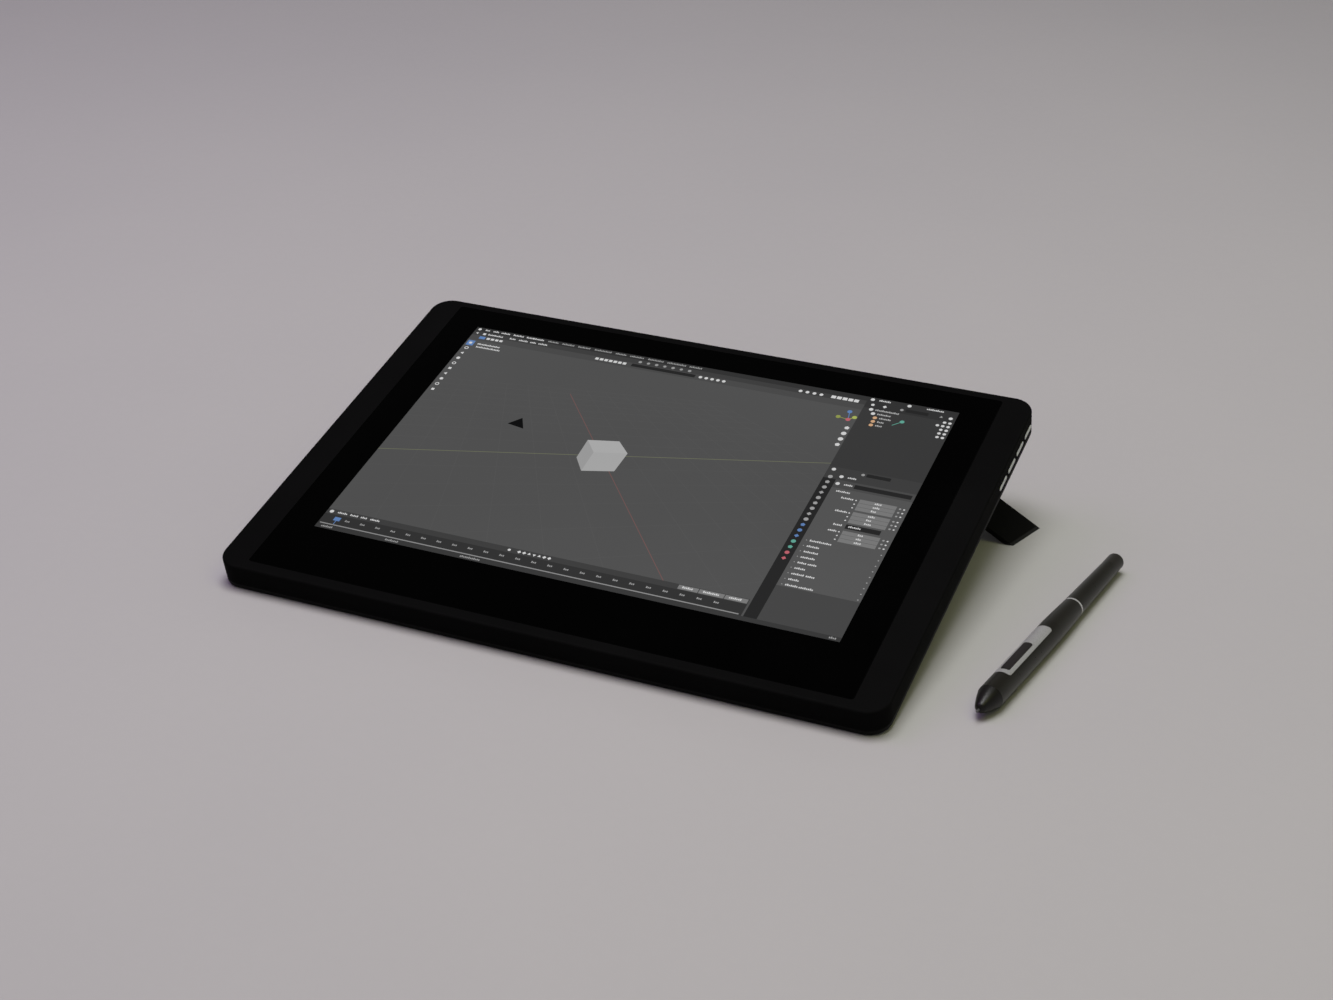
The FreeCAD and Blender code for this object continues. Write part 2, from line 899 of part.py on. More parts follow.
def lip_notches():
    """Gaps in the lip behind the keys and at the sockets."""
    ys = key_places()
    reach = key_length / 2 + 2 * flange_border
    level = min(parting_height, key_level - key_height / 2 - 2 * flange_border)
    top = parting_height + lip_height + 1
    inner = half_width - lip_inner_inset - 1
    notches = [box(inner, wall_inside, ys[-1] - reach, ys[0] + reach, level, top)]
    for y in socket_places:
        half = socket_width / 2 + 3 * port_gap
        notches.append(box(-wall_inside, -inner, y - half, y + half, board_top - port_gap * 2, top + 1))
    return notches


def cover_screws():
    z = cover_head_height + hole_gap
    return Part.makeCompound(
        [
            screw(x, y, z, cover_head, cover_head_height, cover_shank, cover_screw_length - z, True)
            for x, y in side_screw_places() + middle_screw_places()
        ]
    )


def chassis_screws():
    length = small_screw_length - hole_gap
    return Part.makeCompound(
        [
            screw(x, y, chassis_bottom, small_head, small_head_height, small_shank, length, True)
            for x, y in ledge_screw_places()
        ]
    )


def board_screws():
    return Part.makeCompound(
        [
            screw(x, y, board_top, board_head, board_head_height, cover_shank, board_screw_length, False)
            for x, y in board_screw_places()
        ]
    )


def turned(edges):
    """A solid of revolution about +Y from edges in the XY plane, closed along the axis or bore."""
    return Part.Face(Part.Wire(edges)).revolve(V(0, 0, 0), V(0, 1, 0), 360)


def line(a, b):
    return Part.LineSegment(V(a[0], a[1], 0), V(b[0], b[1], 0)).toShape()


def bow(a, b, rise):
    """An arc from a to b whose middle stands out from the chord by rise, away from the axis."""
    middle = V((a[0] + b[0]) / 2 + rise, (a[1] + b[1]) / 2, 0)
    return Part.Arc(V(a[0], a[1], 0), middle, V(b[0], b[1], 0)).toShape()


def tube(y0, y1, outer, inner):
    ring = Part.makeCylinder(outer, y1 - y0, V(0, y0, 0), V(0, 1, 0))
    if inner <= 0:
        return ring
    return ring.cut(Part.makeCylinder(inner, y1 - y0 + 2, V(0, y0 - 1, 0), V(0, 1, 0)))


def grip_inside():
    return grip_radius - grip_wall


def pen_nose_cone():
    """The tapered nose with the nib's opening and a spigot that enters the barrel."""
    base = grip_radius - nose_edge_drop
    tip = (nose_opening, nib_reach)
    brow = (nose_brow, nose_brow_place)
    shoulder = (base, nose_length)
    inner_tip = (nib_diameter / 2 + nib_gap, nib_reach)
    spigot = grip_inside() - pen_fit
    inside = spigot - spigot_wall
    throat = nib_reach + nose_throat
    end = nose_length + spigot_length
    outline = [
        line(inner_tip, tip),
        bow(tip, brow, nose_brow_bulge),
        bow(brow, shoulder, nose_bulge),
        line(shoulder, (spigot, nose_length)),
        line((spigot, nose_length), (spigot, end)),
        line((spigot, end), (inside, end)),
        line((inside, end), (inside, nose_length)),
        line((inside, nose_length), (inner_tip[0], throat)),
        line((inner_tip[0], throat), inner_tip),
    ]
    cone = turned(outline)
    coil_room = tube(coil_place - pen_fit, coil_place + coil_length, coil_diameter / 2 + pen_fit, 0)
    return cone.cut(coil_room)


def taper_inside():
    return ring_radius - tail_wall


def barrel_blank():
    """The grip and its taper to the ring, hollow, before the switch is let in."""
    start = nose_length
    inside = grip_inside()
    narrow = taper_inside()
    outline = [
        line((inside, start), (grip_radius, start)),
        line((grip_radius, start), (grip_radius, grip_end)),
        bow((grip_radius, grip_end), (ring_radius, ring_place), taper_bulge),
        line((ring_radius, ring_place), (narrow, ring_place)),
        line((narrow, ring_place), (narrow, grip_end + grip_wall)),
        line((narrow, grip_end + grip_wall), (inside, grip_end)),
        line((inside, grip_end), (inside, start)),
    ]
    return turned(outline)


def plate_prism(place, length, width, corner, grow):
    """An upright round-cornered prism over the pen's top, for the switch plate and the rocker."""
    return slab(
        -width / 2 - grow, width / 2 + grow, place - grow, place + length + grow, 0, 2 * grip_radius, corner
    )


def rocker_level():
    """Height of the rocker's pivot over the pen's axis."""
    return grip_radius + rocker_proud - rocker_depth


def rocker_pivot():
    return V(0, rocker_place + rocker_length / 2, rocker_level() + rocker_pin)


def rocker_pin_rod(gap):
    half = rocker_pin_length / 2
    return rod(rocker_pivot() - V(half, 0, 0), V(1, 0, 0), rocker_pin_length, rocker_pin + 2 * gap)


def pen_front_barrel():
    blank = barrel_blank()
    seat = plate_prism(plate_place, plate_length, plate_width, plate_corner, pen_fit)
    seat = seat.cut(tube(0, pen_length, grip_radius - plate_depth, 0))
    window = plate_prism(rocker_place, rocker_length, rocker_width, rocker_corner, 0)
    return blank.cut([seat, window, rocker_pin_rod(seat_gap)])


def pen_switch_plate():
    """The bright plate let into the grip, open where the rocker stands in it."""
    end = plate_place + plate_length
    shell = tube(plate_place, end, grip_radius + plate_proud, grip_radius - plate_depth)
    plate = plate_prism(plate_place, plate_length, plate_width, plate_corner, 0).common(shell)
    return plate.cut(plate_prism(rocker_place, rocker_length, rocker_width, rocker_corner, 0))


def pen_rocker():
    """The two-way switch, hinged across its middle, with its underside cleared for the swing."""
    prism = plate_prism(rocker_place, rocker_length, rocker_width, rocker_corner, -rocker_gap)
    top = tube(rocker_place, rocker_place + rocker_length, grip_radius + rocker_proud, 0)
    body = prism.common(top)
    body = body.cut(box(-grip_radius, grip_radius, 0, pen_length, -grip_radius, rocker_level()))
    bore_start = rocker_pivot() - V(grip_radius, 0, 0)
    return body.cut(rod(bore_start, V(1, 0, 0), 2 * grip_radius, rocker_pin + 2 * pin_gap))


def pen_ring():
    return tube(ring_place, ring_place + ring_length, ring_radius + ring_proud, taper_inside())


def tail_start():
    return ring_place + ring_length


def cap_start():
    return pen_length - cap_length


def pen_rear_barrel():
    """The plain rear tube, with a spigot through the ring into the front barrel."""
    start = tail_start()
    end = cap_start()
    inside = tail_radius - tail_wall
    spigot_outer = min(inside, taper_inside()) - pen_fit
    spigot_inner = spigot_outer - spigot_wall
    spigot_front = ring_place - spigot_length
    spigot_rear = start + spigot_length
    corners = [
        (spigot_outer, spigot_front),
        (spigot_outer, start),
        (ring_radius, start),
        (tail_radius, end),
        (inside, end),
        (inside, spigot_rear),
        (spigot_inner, spigot_rear),
        (spigot_inner, spigot_front),
    ]
    return turned([line(a, b) for a, b in zip(corners, corners[1:] + corners[:1])])


def pen_end_cap():
    """The closed rear end, plugged into the rear barrel."""
    start = cap_start()
    cap = tube(start, pen_length, tail_radius, 0)
    end_edges = [e for e in cap.Edges if e.BoundBox.YMin > pen_length - 1e-4]
    cap = cap.makeFillet(cap_round, end_edges)
    plug = tube(start - spigot_length, start, tail_radius - tail_wall - pen_fit, 0)
    return cap.fuse(plug)


def holder_start():
    return nib_length - holder_grip


def pen_nib():
    tip = tube(0, nib_length, nib_diameter / 2, 0)
    front = [e for e in tip.Edges if e.BoundBox.YMax < 1e-4]
    return tip.makeFillet(nib_diameter / 2 - nib_flat, front)


def pen_nib_holder():
    start = holder_start()
    cup = tube(start, start + holder_length, holder_diameter / 2, 0)
    return cup.cut(tube(start - 1, nib_length, nib_diameter / 2, 0))


def pen_coil():
    """The ferrite core with its winding, round the nib."""
    return tube(
        coil_place, coil_place + coil_length, coil_diameter / 2, nib_diameter / 2 + coil_bore_gap
    )


def pressure_start():
    return holder_start() + holder_length + nib_travel + sensor_room


def pen_pressure_sensor():
    return tube(pressure_start(), pressure_start() + pressure_length, grip_inside() - pen_fit, 0)


def pen_board_start():
    return pressure_start() + pressure_length


def pen_board():
    half = pen_board_width / 2
    level = pen_board_thickness / 2
    return box(-half, half, pen_board_start(), grip_end, -level, level)


def pen_switches():
    """The two small switches on the pen's board, under the rocker's ends."""
    half = pen_switch_width / 2
    level = pen_board_thickness / 2
    blocks = []
    for side in (-1, 1):
        middle = rocker_pivot().y + side * pen_switch_spread
        start = middle - pen_switch_length / 2
        blocks.append(
            box(-half, half, start, start + pen_switch_length, level, level + pen_switch_height)
        )
    return Part.makeCompound(blocks)


def tablet_nodes():
    nodes = {
        "front_frame": front_frame(),
        "cover_glass": cover_glass(),
        "glass_tape": glass_tape(),
        "optical_bond": optical_bond(),
        "lcd_panel": lcd_panel(),
        "panel_foam": panel_foam(),
        "digitizer_board": digitizer_board(),
        "shield_plate": shield_plate(),
        "chassis_plate": chassis_plate(),
        "chassis_screws": chassis_screws(),
        "panel_strip": panel_strip(),
        "panel_foils": panel_foils(),
        "panel_ribbon": panel_ribbon(),
        "digitizer_ribbon": sensor_ribbon(),
        "key_ribbon": key_ribbon(),
        "main_board": main_board(),
        "board_can": board_can(),
        "board_screws": board_screws(),
        "key_board": key_board(),
        "back_cover": back_cover(),
        "cover_screws": cover_screws(),
        "front_foot": front_foot(),
        "rear_foot_right": rear_foot(),
        "rear_foot_left": mirrored(rear_foot()),
        "leg_right": leg(),
        "leg_left": mirrored(leg()),
        "leg_sole_right": leg_sole_pad(),
        "leg_sole_left": mirrored(leg_sole_pad()),
        "leg_pin_right": leg_pin(),
        "leg_pin_left": mirrored(leg_pin()),
    }
    for name, y in zip(("usb_socket_front", "usb_socket_rear"), socket_places):
        nodes[name] = usb_socket(y)
    for i, y in enumerate(key_places(), 1):
        nodes[f"side_key_{i}"] = side_key(y)
        nodes[f"key_plunger_{i}"] = key_plunger(y)
        nodes[f"tact_switch_{i}"] = tact_switch(y)
    return nodes


def pen_nodes():
    return {
        "pen_nose_cone": pen_nose_cone(),
        "pen_front_barrel": pen_front_barrel(),
        "pen_switch_plate": pen_switch_plate(),
        "pen_rocker": pen_rocker(),
        "pen_rocker_pin": rocker_pin_rod(0),
        "pen_ring": pen_ring(),
        "pen_rear_barrel": pen_rear_barrel(),
        "pen_end_cap": pen_end_cap(),
        "pen_nib": pen_nib(),
        "pen_nib_holder": pen_nib_holder(),
        "pen_coil": pen_coil(),
        "pen_pressure_sensor": pen_pressure_sensor(),
        "pen_board": pen_board(),
        "pen_switches": pen_switches(),
    }


def placed_nodes():
    """Every node in the shared frame: x and y centred on the whole object, z = 0 on the floor."""
    nodes = {}
    for place, group in ((tablet_place, tablet_nodes()), (pen_place, pen_nodes())):
        for name, shape in group.items():
            shape.Placement = place.multiply(shape.Placement)
            nodes[name] = shape
    bounds = FreeCAD.BoundBox()
    for shape in nodes.values():
        bounds.add(shape.optimalBoundingBox(False, False))
    shift = V(-bounds.Center.x, -bounds.Center.y, 0)
    for shape in nodes.values():
        shape.translate(shift)
    return nodes, shift


nodes, frame_shift = placed_nodes()
os.makedirs("parts", exist_ok=True)
for name, shape in nodes.items():
    shape.exportStep(f"parts/{name}.step")
print(len(nodes), "nodes, moved by", frame_shift, "to the middle")
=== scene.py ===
import bpy
import bmesh
import math
from mathutils import Matrix, Vector


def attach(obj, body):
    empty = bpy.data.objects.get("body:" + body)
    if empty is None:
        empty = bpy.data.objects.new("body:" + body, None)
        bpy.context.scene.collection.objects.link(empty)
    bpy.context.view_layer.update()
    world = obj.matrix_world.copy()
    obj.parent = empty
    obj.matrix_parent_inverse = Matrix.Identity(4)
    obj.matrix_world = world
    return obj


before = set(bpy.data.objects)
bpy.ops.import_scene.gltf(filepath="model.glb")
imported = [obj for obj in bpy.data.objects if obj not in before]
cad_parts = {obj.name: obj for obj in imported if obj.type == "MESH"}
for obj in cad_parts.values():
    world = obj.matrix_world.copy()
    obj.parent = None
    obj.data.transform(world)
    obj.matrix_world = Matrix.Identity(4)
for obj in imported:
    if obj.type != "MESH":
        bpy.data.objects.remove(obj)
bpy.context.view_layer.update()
print("frame loaded")

mm = 0.001
tabletPose = {"tilt": 12.4, "offset": (-0.0242864, -0.1113052, 0.000167)}  # where the flat tablet stands
tabletTurn = Matrix.Rotation(math.radians(tabletPose["tilt"]), 4, "X")
tabletFrame = Matrix.Translation(tabletPose["offset"]) @ tabletTurn


# colours are written as they look on a monitor, 0 to 255
def tone(red, green, blue):
    parts = [value / 255 for value in (red, green, blue)]
    return tuple(p / 12.92 if p <= 0.04045 else ((p + 0.055) / 1.055) ** 2.4 for p in parts) + (1.0,)


def newPiece(name, mesh, body, material):
    data = bpy.data.meshes.new(name)
    mesh.to_mesh(data)
    mesh.free()
    piece = bpy.data.objects.new(name, data)
    bpy.context.scene.collection.objects.link(piece)
    data.materials.append(material)
    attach(piece, body)
    return piece


# shared effects, each a node group that reads object coordinates
def newGroup(name, inputs, outputs):
    group = bpy.data.node_groups.new(name, "ShaderNodeTree")
    for label, kind, value in inputs:
        socket = group.interface.new_socket(label, in_out="INPUT", socket_type=kind)
        socket.default_value = value
    for label, kind in outputs:
        group.interface.new_socket(label, in_out="OUTPUT", socket_type=kind)
    return group, group.nodes.new("NodeGroupInput"), group.nodes.new("NodeGroupOutput")


def noiseInto(group, place, scale, detail, roughness=0.55):
    noise = group.nodes.new("ShaderNodeTexNoise")
    noise.inputs["Detail"].default_value = detail
    noise.inputs["Roughness"].default_value = roughness
    group.links.new(place, noise.inputs["Vector"])
    group.links.new(scale, noise.inputs["Scale"])
    return noise


def buildMouldedGrain():
    group, given, out = newGroup(
        "mouldedGrain",
        [("Fineness", "NodeSocketFloat", 2500.0), ("Cloudiness", "NodeSocketFloat", 18.0)],
        [("Height", "NodeSocketFloat"), ("Fleck", "NodeSocketFloat"), ("Cloud", "NodeSocketFloat")],
    )
    place = group.nodes.new("ShaderNodeTexCoord")
    fine = noiseInto(group, place.outputs["Object"], given.outputs["Fineness"], 2.0)
    cells = group.nodes.new("ShaderNodeTexVoronoi")
    group.links.new(place.outputs["Object"], cells.inputs["Vector"])
    group.links.new(given.outputs["Fineness"], cells.inputs["Scale"])
    cloud = noiseInto(group, place.outputs["Object"], given.outputs["Cloudiness"], 4.0)
    mix = group.nodes.new("ShaderNodeMath")
    mix.operation = "ADD"
    group.links.new(fine.outputs["Fac"], mix.inputs[0])
    group.links.new(cells.outputs["Distance"], mix.inputs[1])
    group.links.new(mix.outputs[0], out.inputs["Height"])
    group.links.new(fine.outputs["Fac"], out.inputs["Fleck"])
    group.links.new(cloud.outputs["Fac"], out.inputs["Cloud"])
    return group


def buildBrushLines():
    group, given, out = newGroup(
        "brushLines",
        [("Stretch", "NodeSocketVector", (1.0, 1.0, 1.0)), ("Fineness", "NodeSocketFloat", 900.0)],
        [("Lines", "NodeSocketFloat"), ("Cloud", "NodeSocketFloat")],
    )
    place = group.nodes.new("ShaderNodeTexCoord")
    scaled = group.nodes.new("ShaderNodeVectorMath")
    scaled.operation = "MULTIPLY"
    group.links.new(place.outputs["Object"], scaled.inputs[0])
    group.links.new(given.outputs["Stretch"], scaled.inputs[1])
    lines = noiseInto(group, scaled.outputs["Vector"], given.outputs["Fineness"], 3.0)
    cloud = noiseInto(group, place.outputs["Object"], given.outputs["Fineness"], 2.0)
    group.links.new(lines.outputs["Fac"], out.inputs["Lines"])
    group.links.new(cloud.outputs["Fac"], out.inputs["Cloud"])
    return group


marksPlan = {"smearEnd": 0.8, "speckScale": 260.0, "speckEdge": 0.09, "speckCore": 0.03}


def buildHandling():
    group, given, out = newGroup(
        "handlingMarks",
        [("Spread", "NodeSocketFloat", 30.0), ("Cover", "NodeSocketFloat", 0.55)],
        [("Smear", "NodeSocketFloat"), ("Dust", "NodeSocketFloat")],
    )
    place = group.nodes.new("ShaderNodeTexCoord")
    smear = noiseInto(group, place.outputs["Object"], given.outputs["Spread"], 5.0, 0.6)
    window = group.nodes.new("ShaderNodeMapRange")
    group.links.new(smear.outputs["Fac"], window.inputs["Value"])
    group.links.new(given.outputs["Cover"], window.inputs["From Min"])
    window.inputs["From Max"].default_value = marksPlan["smearEnd"]
    specks = group.nodes.new("ShaderNodeTexVoronoi")
    specks.inputs["Scale"].default_value = marksPlan["speckScale"]
    group.links.new(place.outputs["Object"], specks.inputs["Vector"])
    dust = group.nodes.new("ShaderNodeMapRange")
    dust.inputs["From Min"].default_value = marksPlan["speckEdge"]
    dust.inputs["From Max"].default_value = marksPlan["speckCore"]
    group.links.new(specks.outputs["Distance"], dust.inputs["Value"])
    group.links.new(window.outputs["Result"], out.inputs["Smear"])
    group.links.new(dust.outputs["Result"], out.inputs["Dust"])
    return group


# the housing's outside in the flat tablet, and how far in from its top edge the rub starts and is full
housingPlan = {
    "halfWidth": 0.16625, "depth": 0.2308, "thickness": 0.0136, "rubStart": 0.0016, "rubFull": 0.0006,
    "patchScale": 120.0, "patchDetail": 5.0,
}


def buildEdgeRub():
    group, given, out = newGroup(
        "edgeRub",
        [
            ("Half Width", "NodeSocketFloat", housingPlan["halfWidth"]),
            ("Depth", "NodeSocketFloat", housingPlan["depth"]),
        ],
        [("Rub", "NodeSocketFloat")],
    )
    place = group.nodes.new("ShaderNodeTexCoord")
    flat = group.nodes.new("ShaderNodeMapping")
    flat.vector_type = "TEXTURE"
    flat.inputs["Location"].default_value = tabletPose["offset"]
    flat.inputs["Rotation"].default_value = (math.radians(tabletPose["tilt"]), 0, 0)
    group.links.new(place.outputs["Object"], flat.inputs["Vector"])
    parts = group.nodes.new("ShaderNodeSeparateXYZ")
    group.links.new(flat.outputs["Vector"], parts.inputs["Vector"])

    def worked(operation, first, second):
        node = group.nodes.new("ShaderNodeMath")
        node.operation = operation
        for n, value in enumerate((first, second)):
            if isinstance(value, float):
                node.inputs[n].default_value = value
            elif value is not None:
                group.links.new(value, node.inputs[n])
        return node.outputs[0]

    side = worked("SUBTRACT", given.outputs["Half Width"], worked("ABSOLUTE", parts.outputs["X"], None))
    halfDepth = worked("MULTIPLY", given.outputs["Depth"], 0.5)
    fromMiddle = worked("ABSOLUTE", worked("SUBTRACT", parts.outputs["Y"], halfDepth), None)
    end = worked("SUBTRACT", halfDepth, fromMiddle)
    inward = worked("MINIMUM", side, end)
    down = worked("SUBTRACT", housingPlan["thickness"], parts.outputs["Z"])
    away = worked("ADD", inward, down)  # metres from the top's outer edge
    near = group.nodes.new("ShaderNodeMapRange")
    near.inputs["From Min"].default_value = housingPlan["rubStart"]
    near.inputs["From Max"].default_value = housingPlan["rubFull"]
    group.links.new(away, near.inputs["Value"])
    patchy = group.nodes.new("ShaderNodeTexNoise")
    patchy.inputs["Scale"].default_value = housingPlan["patchScale"]
    patchy.inputs["Detail"].default_value = housingPlan["patchDetail"]
    group.links.new(place.outputs["Object"], patchy.inputs["Vector"])
    group.links.new(worked("MULTIPLY", near.outputs["Result"], patchy.outputs["Fac"]), out.inputs["Rub"])
    return group


effects = {
    "grain": buildMouldedGrain(),
    "brush": buildBrushLines(),
    "handling": buildHandling(),
    "rub": buildEdgeRub(),
}
print("shared effects built")


# materials
def newShader(name, sockets):
    material = bpy.data.materials.new(name)
    material.use_nodes = True
    nodes = material.node_tree.nodes
    shader = nodes["Principled BSDF"]
    for label, value in sockets.items():
        shader.inputs[label].default_value = value
    return material, nodes, material.node_tree.links, shader


def useGroup(nodes, effect, values):
    node = nodes.new("ShaderNodeGroup")
    node.node_tree = effects[effect]
    for label, value in values.items():
        node.inputs[label].default_value = value
    return node


colourMix = {"first": 6, "second": 7, "result": 2}  # the colour sockets of a Mix node, by number


def mixColours(nodes, links, factor, first, second):
    mix = nodes.new("ShaderNodeMix")
    mix.data_type = "RGBA"
    links.new(factor, mix.inputs["Factor"])
    for n, value in ((colourMix["first"], first), (colourMix["second"], second)):
        if isinstance(value, tuple):
            mix.inputs[n].default_value = value
        else:
            links.new(value, mix.inputs[n])
    return mix.outputs[colourMix["result"]]


def ranged(nodes, links, value, low, high, fromLow=0.3, fromHigh=0.7):
    node = nodes.new("ShaderNodeMapRange")
    node.inputs["From Min"].default_value = fromLow
    node.inputs["From Max"].default_value = fromHigh
    node.inputs["To Min"].default_value = low
    node.inputs["To Max"].default_value = high
    links.new(value, node.inputs["Value"])
    return node.outputs["Result"]


def bumped(nodes, links, shader, height, depth):
    bump = nodes.new("ShaderNodeBump")
    bump.inputs["Strength"].default_value = 1.0
    bump.inputs["Distance"].default_value = depth
    links.new(height, bump.inputs["Height"])
    links.new(bump.outputs["Normal"], shader.inputs["Normal"])


# a moulded or painted surface: two tones, grain, and slight marks of handling
def mouldedMaterial(name, look):
    material, nodes, links, shader = newShader(name, look.get("sockets", {}))
    grainSize = {"Fineness": look["fineness"], "Cloudiness": look.get("cloudiness", 18.0)}
    grain = useGroup(nodes, "grain", grainSize)
    marksSize = {"Spread": look.get("spread", 30.0), "Cover": look.get("cover", 0.55)}
    marks = useGroup(nodes, "handling", marksSize)
    cloudy = ranged(nodes, links, grain.outputs["Cloud"], 0.0, 1.0)
    colour = mixColours(nodes, links, cloudy, tone(*look["dark"]), tone(*look["light"]))
    if "rub" in look:
        rub = useGroup(nodes, "rub", {})
        colour = mixColours(nodes, links, rub.outputs["Rub"], colour, tone(*look["rub"]))
    if "dust" in look:
        colour = mixColours(nodes, links, marks.outputs["Dust"], colour, tone(*look["dust"]))
    links.new(colour, shader.inputs["Base Color"])
    low, high = look["roughness"]
    fleck = ranged(nodes, links, grain.outputs["Fleck"], low, high)
    smooth = nodes.new("ShaderNodeMath")
    smooth.operation = "MULTIPLY_ADD"
    smooth.inputs[1].default_value = look.get("smear", -0.08)
    links.new(marks.outputs["Smear"], smooth.inputs[0])
    links.new(fleck, smooth.inputs[2])
    links.new(smooth.outputs[0], shader.inputs["Roughness"])
    bumped(nodes, links, shader, grain.outputs["Height"], look["depth"])
    return material


# a metal surface with fine lines from rolling, turning or brushing
def brushedMaterial(name, look):
    material, nodes, links, shader = newShader(name, {"Metallic": 1.0} | look.get("sockets", {}))
    brush = useGroup(nodes, "brush", {"Stretch": look["stretch"], "Fineness": look["fineness"]})
    lines = ranged(nodes, links, brush.outputs["Lines"], 0.0, 1.0)
    colour = mixColours(nodes, links, lines, tone(*look["dark"]), tone(*look["light"]))
    links.new(colour, shader.inputs["Base Color"])
    low, high = look["roughness"]
    links.new(ranged(nodes, links, brush.outputs["Cloud"], low, high), shader.inputs["Roughness"])
    bumped(nodes, links, shader, brush.outputs["Lines"], look["depth"])
    return material


def dress(nodeNames, material):
    for name in nodeNames:
        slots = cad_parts[name].material_slots
        if not slots:
            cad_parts[name].data.materials.append(material)
        for held in slots:
            held.material = material


housingLook = {
    "dark": (11, 11, 11), "light": (14, 14, 14), "rub": (17, 17, 17), "roughness": (0.6, 0.72),
    "fineness": 2600.0, "depth": 0.000012, "sockets": {"Specular IOR Level": 0.01},
}
dress(["front_frame"], mouldedMaterial("mattHousing", housingLook))

backLook = {
    "dark": (10, 10, 10), "light": (15, 15, 15), "roughness": (0.55, 0.7), "fineness": 1500.0,
    "depth": 0.00002, "sockets": {"Specular IOR Level": 0.12},
}
dress(["back_cover"], mouldedMaterial("mattBack", backLook))

legLook = {
    "dark": (10, 10, 9), "light": (13, 13, 11), "roughness": (0.5, 0.62), "fineness": 1900.0,
    "depth": 0.000015, "cloudiness": 45.0, "sockets": {"Specular IOR Level": 0.04},
}
dress(["leg_right", "leg_left"], mouldedMaterial("legPlastic", legLook))

rubberLook = {
    "dark": (20, 20, 20), "light": (30, 30, 29), "roughness": (0.78, 0.92), "fineness": 1100.0,
    "depth": 0.00003, "cloudiness": 60.0, "dust": (60, 58, 55), "sockets": {"Specular IOR Level": 0.25},
}
rubberNodes = ["front_foot", "rear_foot_right", "rear_foot_left", "leg_sole_right", "leg_sole_left"]
dress(rubberNodes, mouldedMaterial("softRubber", rubberLook))

glassLook = {
    "colour": (1, 1, 1), "smear": (2, 2, 2), "roughness": (0.07, 0.13), "spread": 14.0, "cover": 0.5,
    "fineness": 5200.0, "cloudiness": 9.0, "depth": 0.000001,
    "sockets": {"IOR": 1.5, "Specular IOR Level": 0.1},
}


def glassMaterial(name, look):
    material, nodes, links, shader = newShader(name, look["sockets"])
    marks = useGroup(nodes, "handling", {"Spread": look["spread"], "Cover": look["cover"]})
    grainSize = {"Fineness": look["fineness"], "Cloudiness": look["cloudiness"]}
    grain = useGroup(nodes, "grain", grainSize)
    colour = mixColours(nodes, links, marks.outputs["Smear"], tone(*look["colour"]), tone(*look["smear"]))
    links.new(colour, shader.inputs["Base Color"])
    low, high = look["roughness"]
    links.new(ranged(nodes, links, marks.outputs["Smear"], low, high, 0.0, 1.0), shader.inputs["Roughness"])
    bumped(nodes, links, shader, grain.outputs["Height"], look["depth"])
    return material


dress(["cover_glass"], glassMaterial("blackGlass", glassLook))

keyLook = {
    "dark": (196, 197, 198), "light": (214, 215, 216), "roughness": (0.45, 0.55), "fineness": 900.0,
    "stretch": (6.0, 0.5, 6.0), "depth": 0.000002, "sockets": {"Metallic": 0.15},
}
dress([f"side_key_{n}" for n in range(1, 5)], brushedMaterial("anodisedKey", keyLook))

screwLook = {
    "dark": (38, 38, 40), "light": (58, 58, 60), "roughness": (0.3, 0.45), "fineness": 1500.0,
    "stretch": (1.0, 1.0, 1.0), "depth": 0.000003,
}
dress(["cover_screws"], brushedMaterial("blackScrew", screwLook))

steelLook = {
    "dark": (150, 150, 148), "light": (190, 190, 188), "roughness": (0.22, 0.38), "fineness": 1200.0,
    "stretch": (0.4, 5.0, 5.0), "depth": 0.000002,
}
steelNodes = ["leg_pin_right", "leg_pin_left", "usb_socket_front", "usb_socket_rear", "chassis_screws",
              "board_screws", "board_can", "shield_plate", "pen_rocker_pin"]
dress(steelNodes, brushedMaterial("plainSteel", steelLook))

castLook = {
    "dark": (120, 121, 122), "light": (148, 149, 150), "roughness": (0.45, 0.6), "fineness": 700.0,
    "stretch": (1.0, 1.0, 1.0), "depth": 0.00001,
}
dress(["chassis_plate"], brushedMaterial("castMetal", castLook))

boardLook = {
    "dark": (12, 52, 32), "light": (20, 74, 46), "roughness": (0.35, 0.5), "fineness": 500.0,
    "depth": 0.00001, "cloudiness": 220.0, "sockets": {"Coat Weight": 0.3},
}
boardNodes = ["digitizer_board", "panel_strip", "main_board", "key_board", "pen_board"]
dress(boardNodes, mouldedMaterial("circuitBoard", boardLook))

foilLook = {
    "dark": (120, 66, 20), "light": (160, 92, 34), "roughness": (0.3, 0.45), "fineness": 800.0,
    "depth": 0.000005, "cloudiness": 90.0,
}
foilNodes = ["panel_foils", "panel_ribbon", "digitizer_ribbon", "key_ribbon"]
dress(foilNodes, mouldedMaterial("flatCable", foilLook))

innerLook = {
    "dark": (30, 30, 32), "light": (44, 44, 46), "roughness": (0.5, 0.7), "fineness": 900.0,
    "depth": 0.00001, "cloudiness": 40.0,
}
innerNodes = ["glass_tape", "panel_foam"] + [f"tact_switch_{n}" for n in range(1, 5)]
innerNodes += ["pen_pressure_sensor", "pen_coil", "pen_nib_holder", "pen_switches"]
dress(innerNodes, mouldedMaterial("innerPlastic", innerLook))

paleLook = {
    "dark": (168, 170, 172), "light": (200, 202, 204), "roughness": (0.3, 0.45), "fineness": 700.0,
    "depth": 0.000004, "cloudiness": 12.0,
}
paleNodes = ["optical_bond", "lcd_panel"] + [f"key_plunger_{n}" for n in range(1, 5)]
dress(paleNodes, mouldedMaterial("paleLayer", paleLook))
print("tablet materials set")

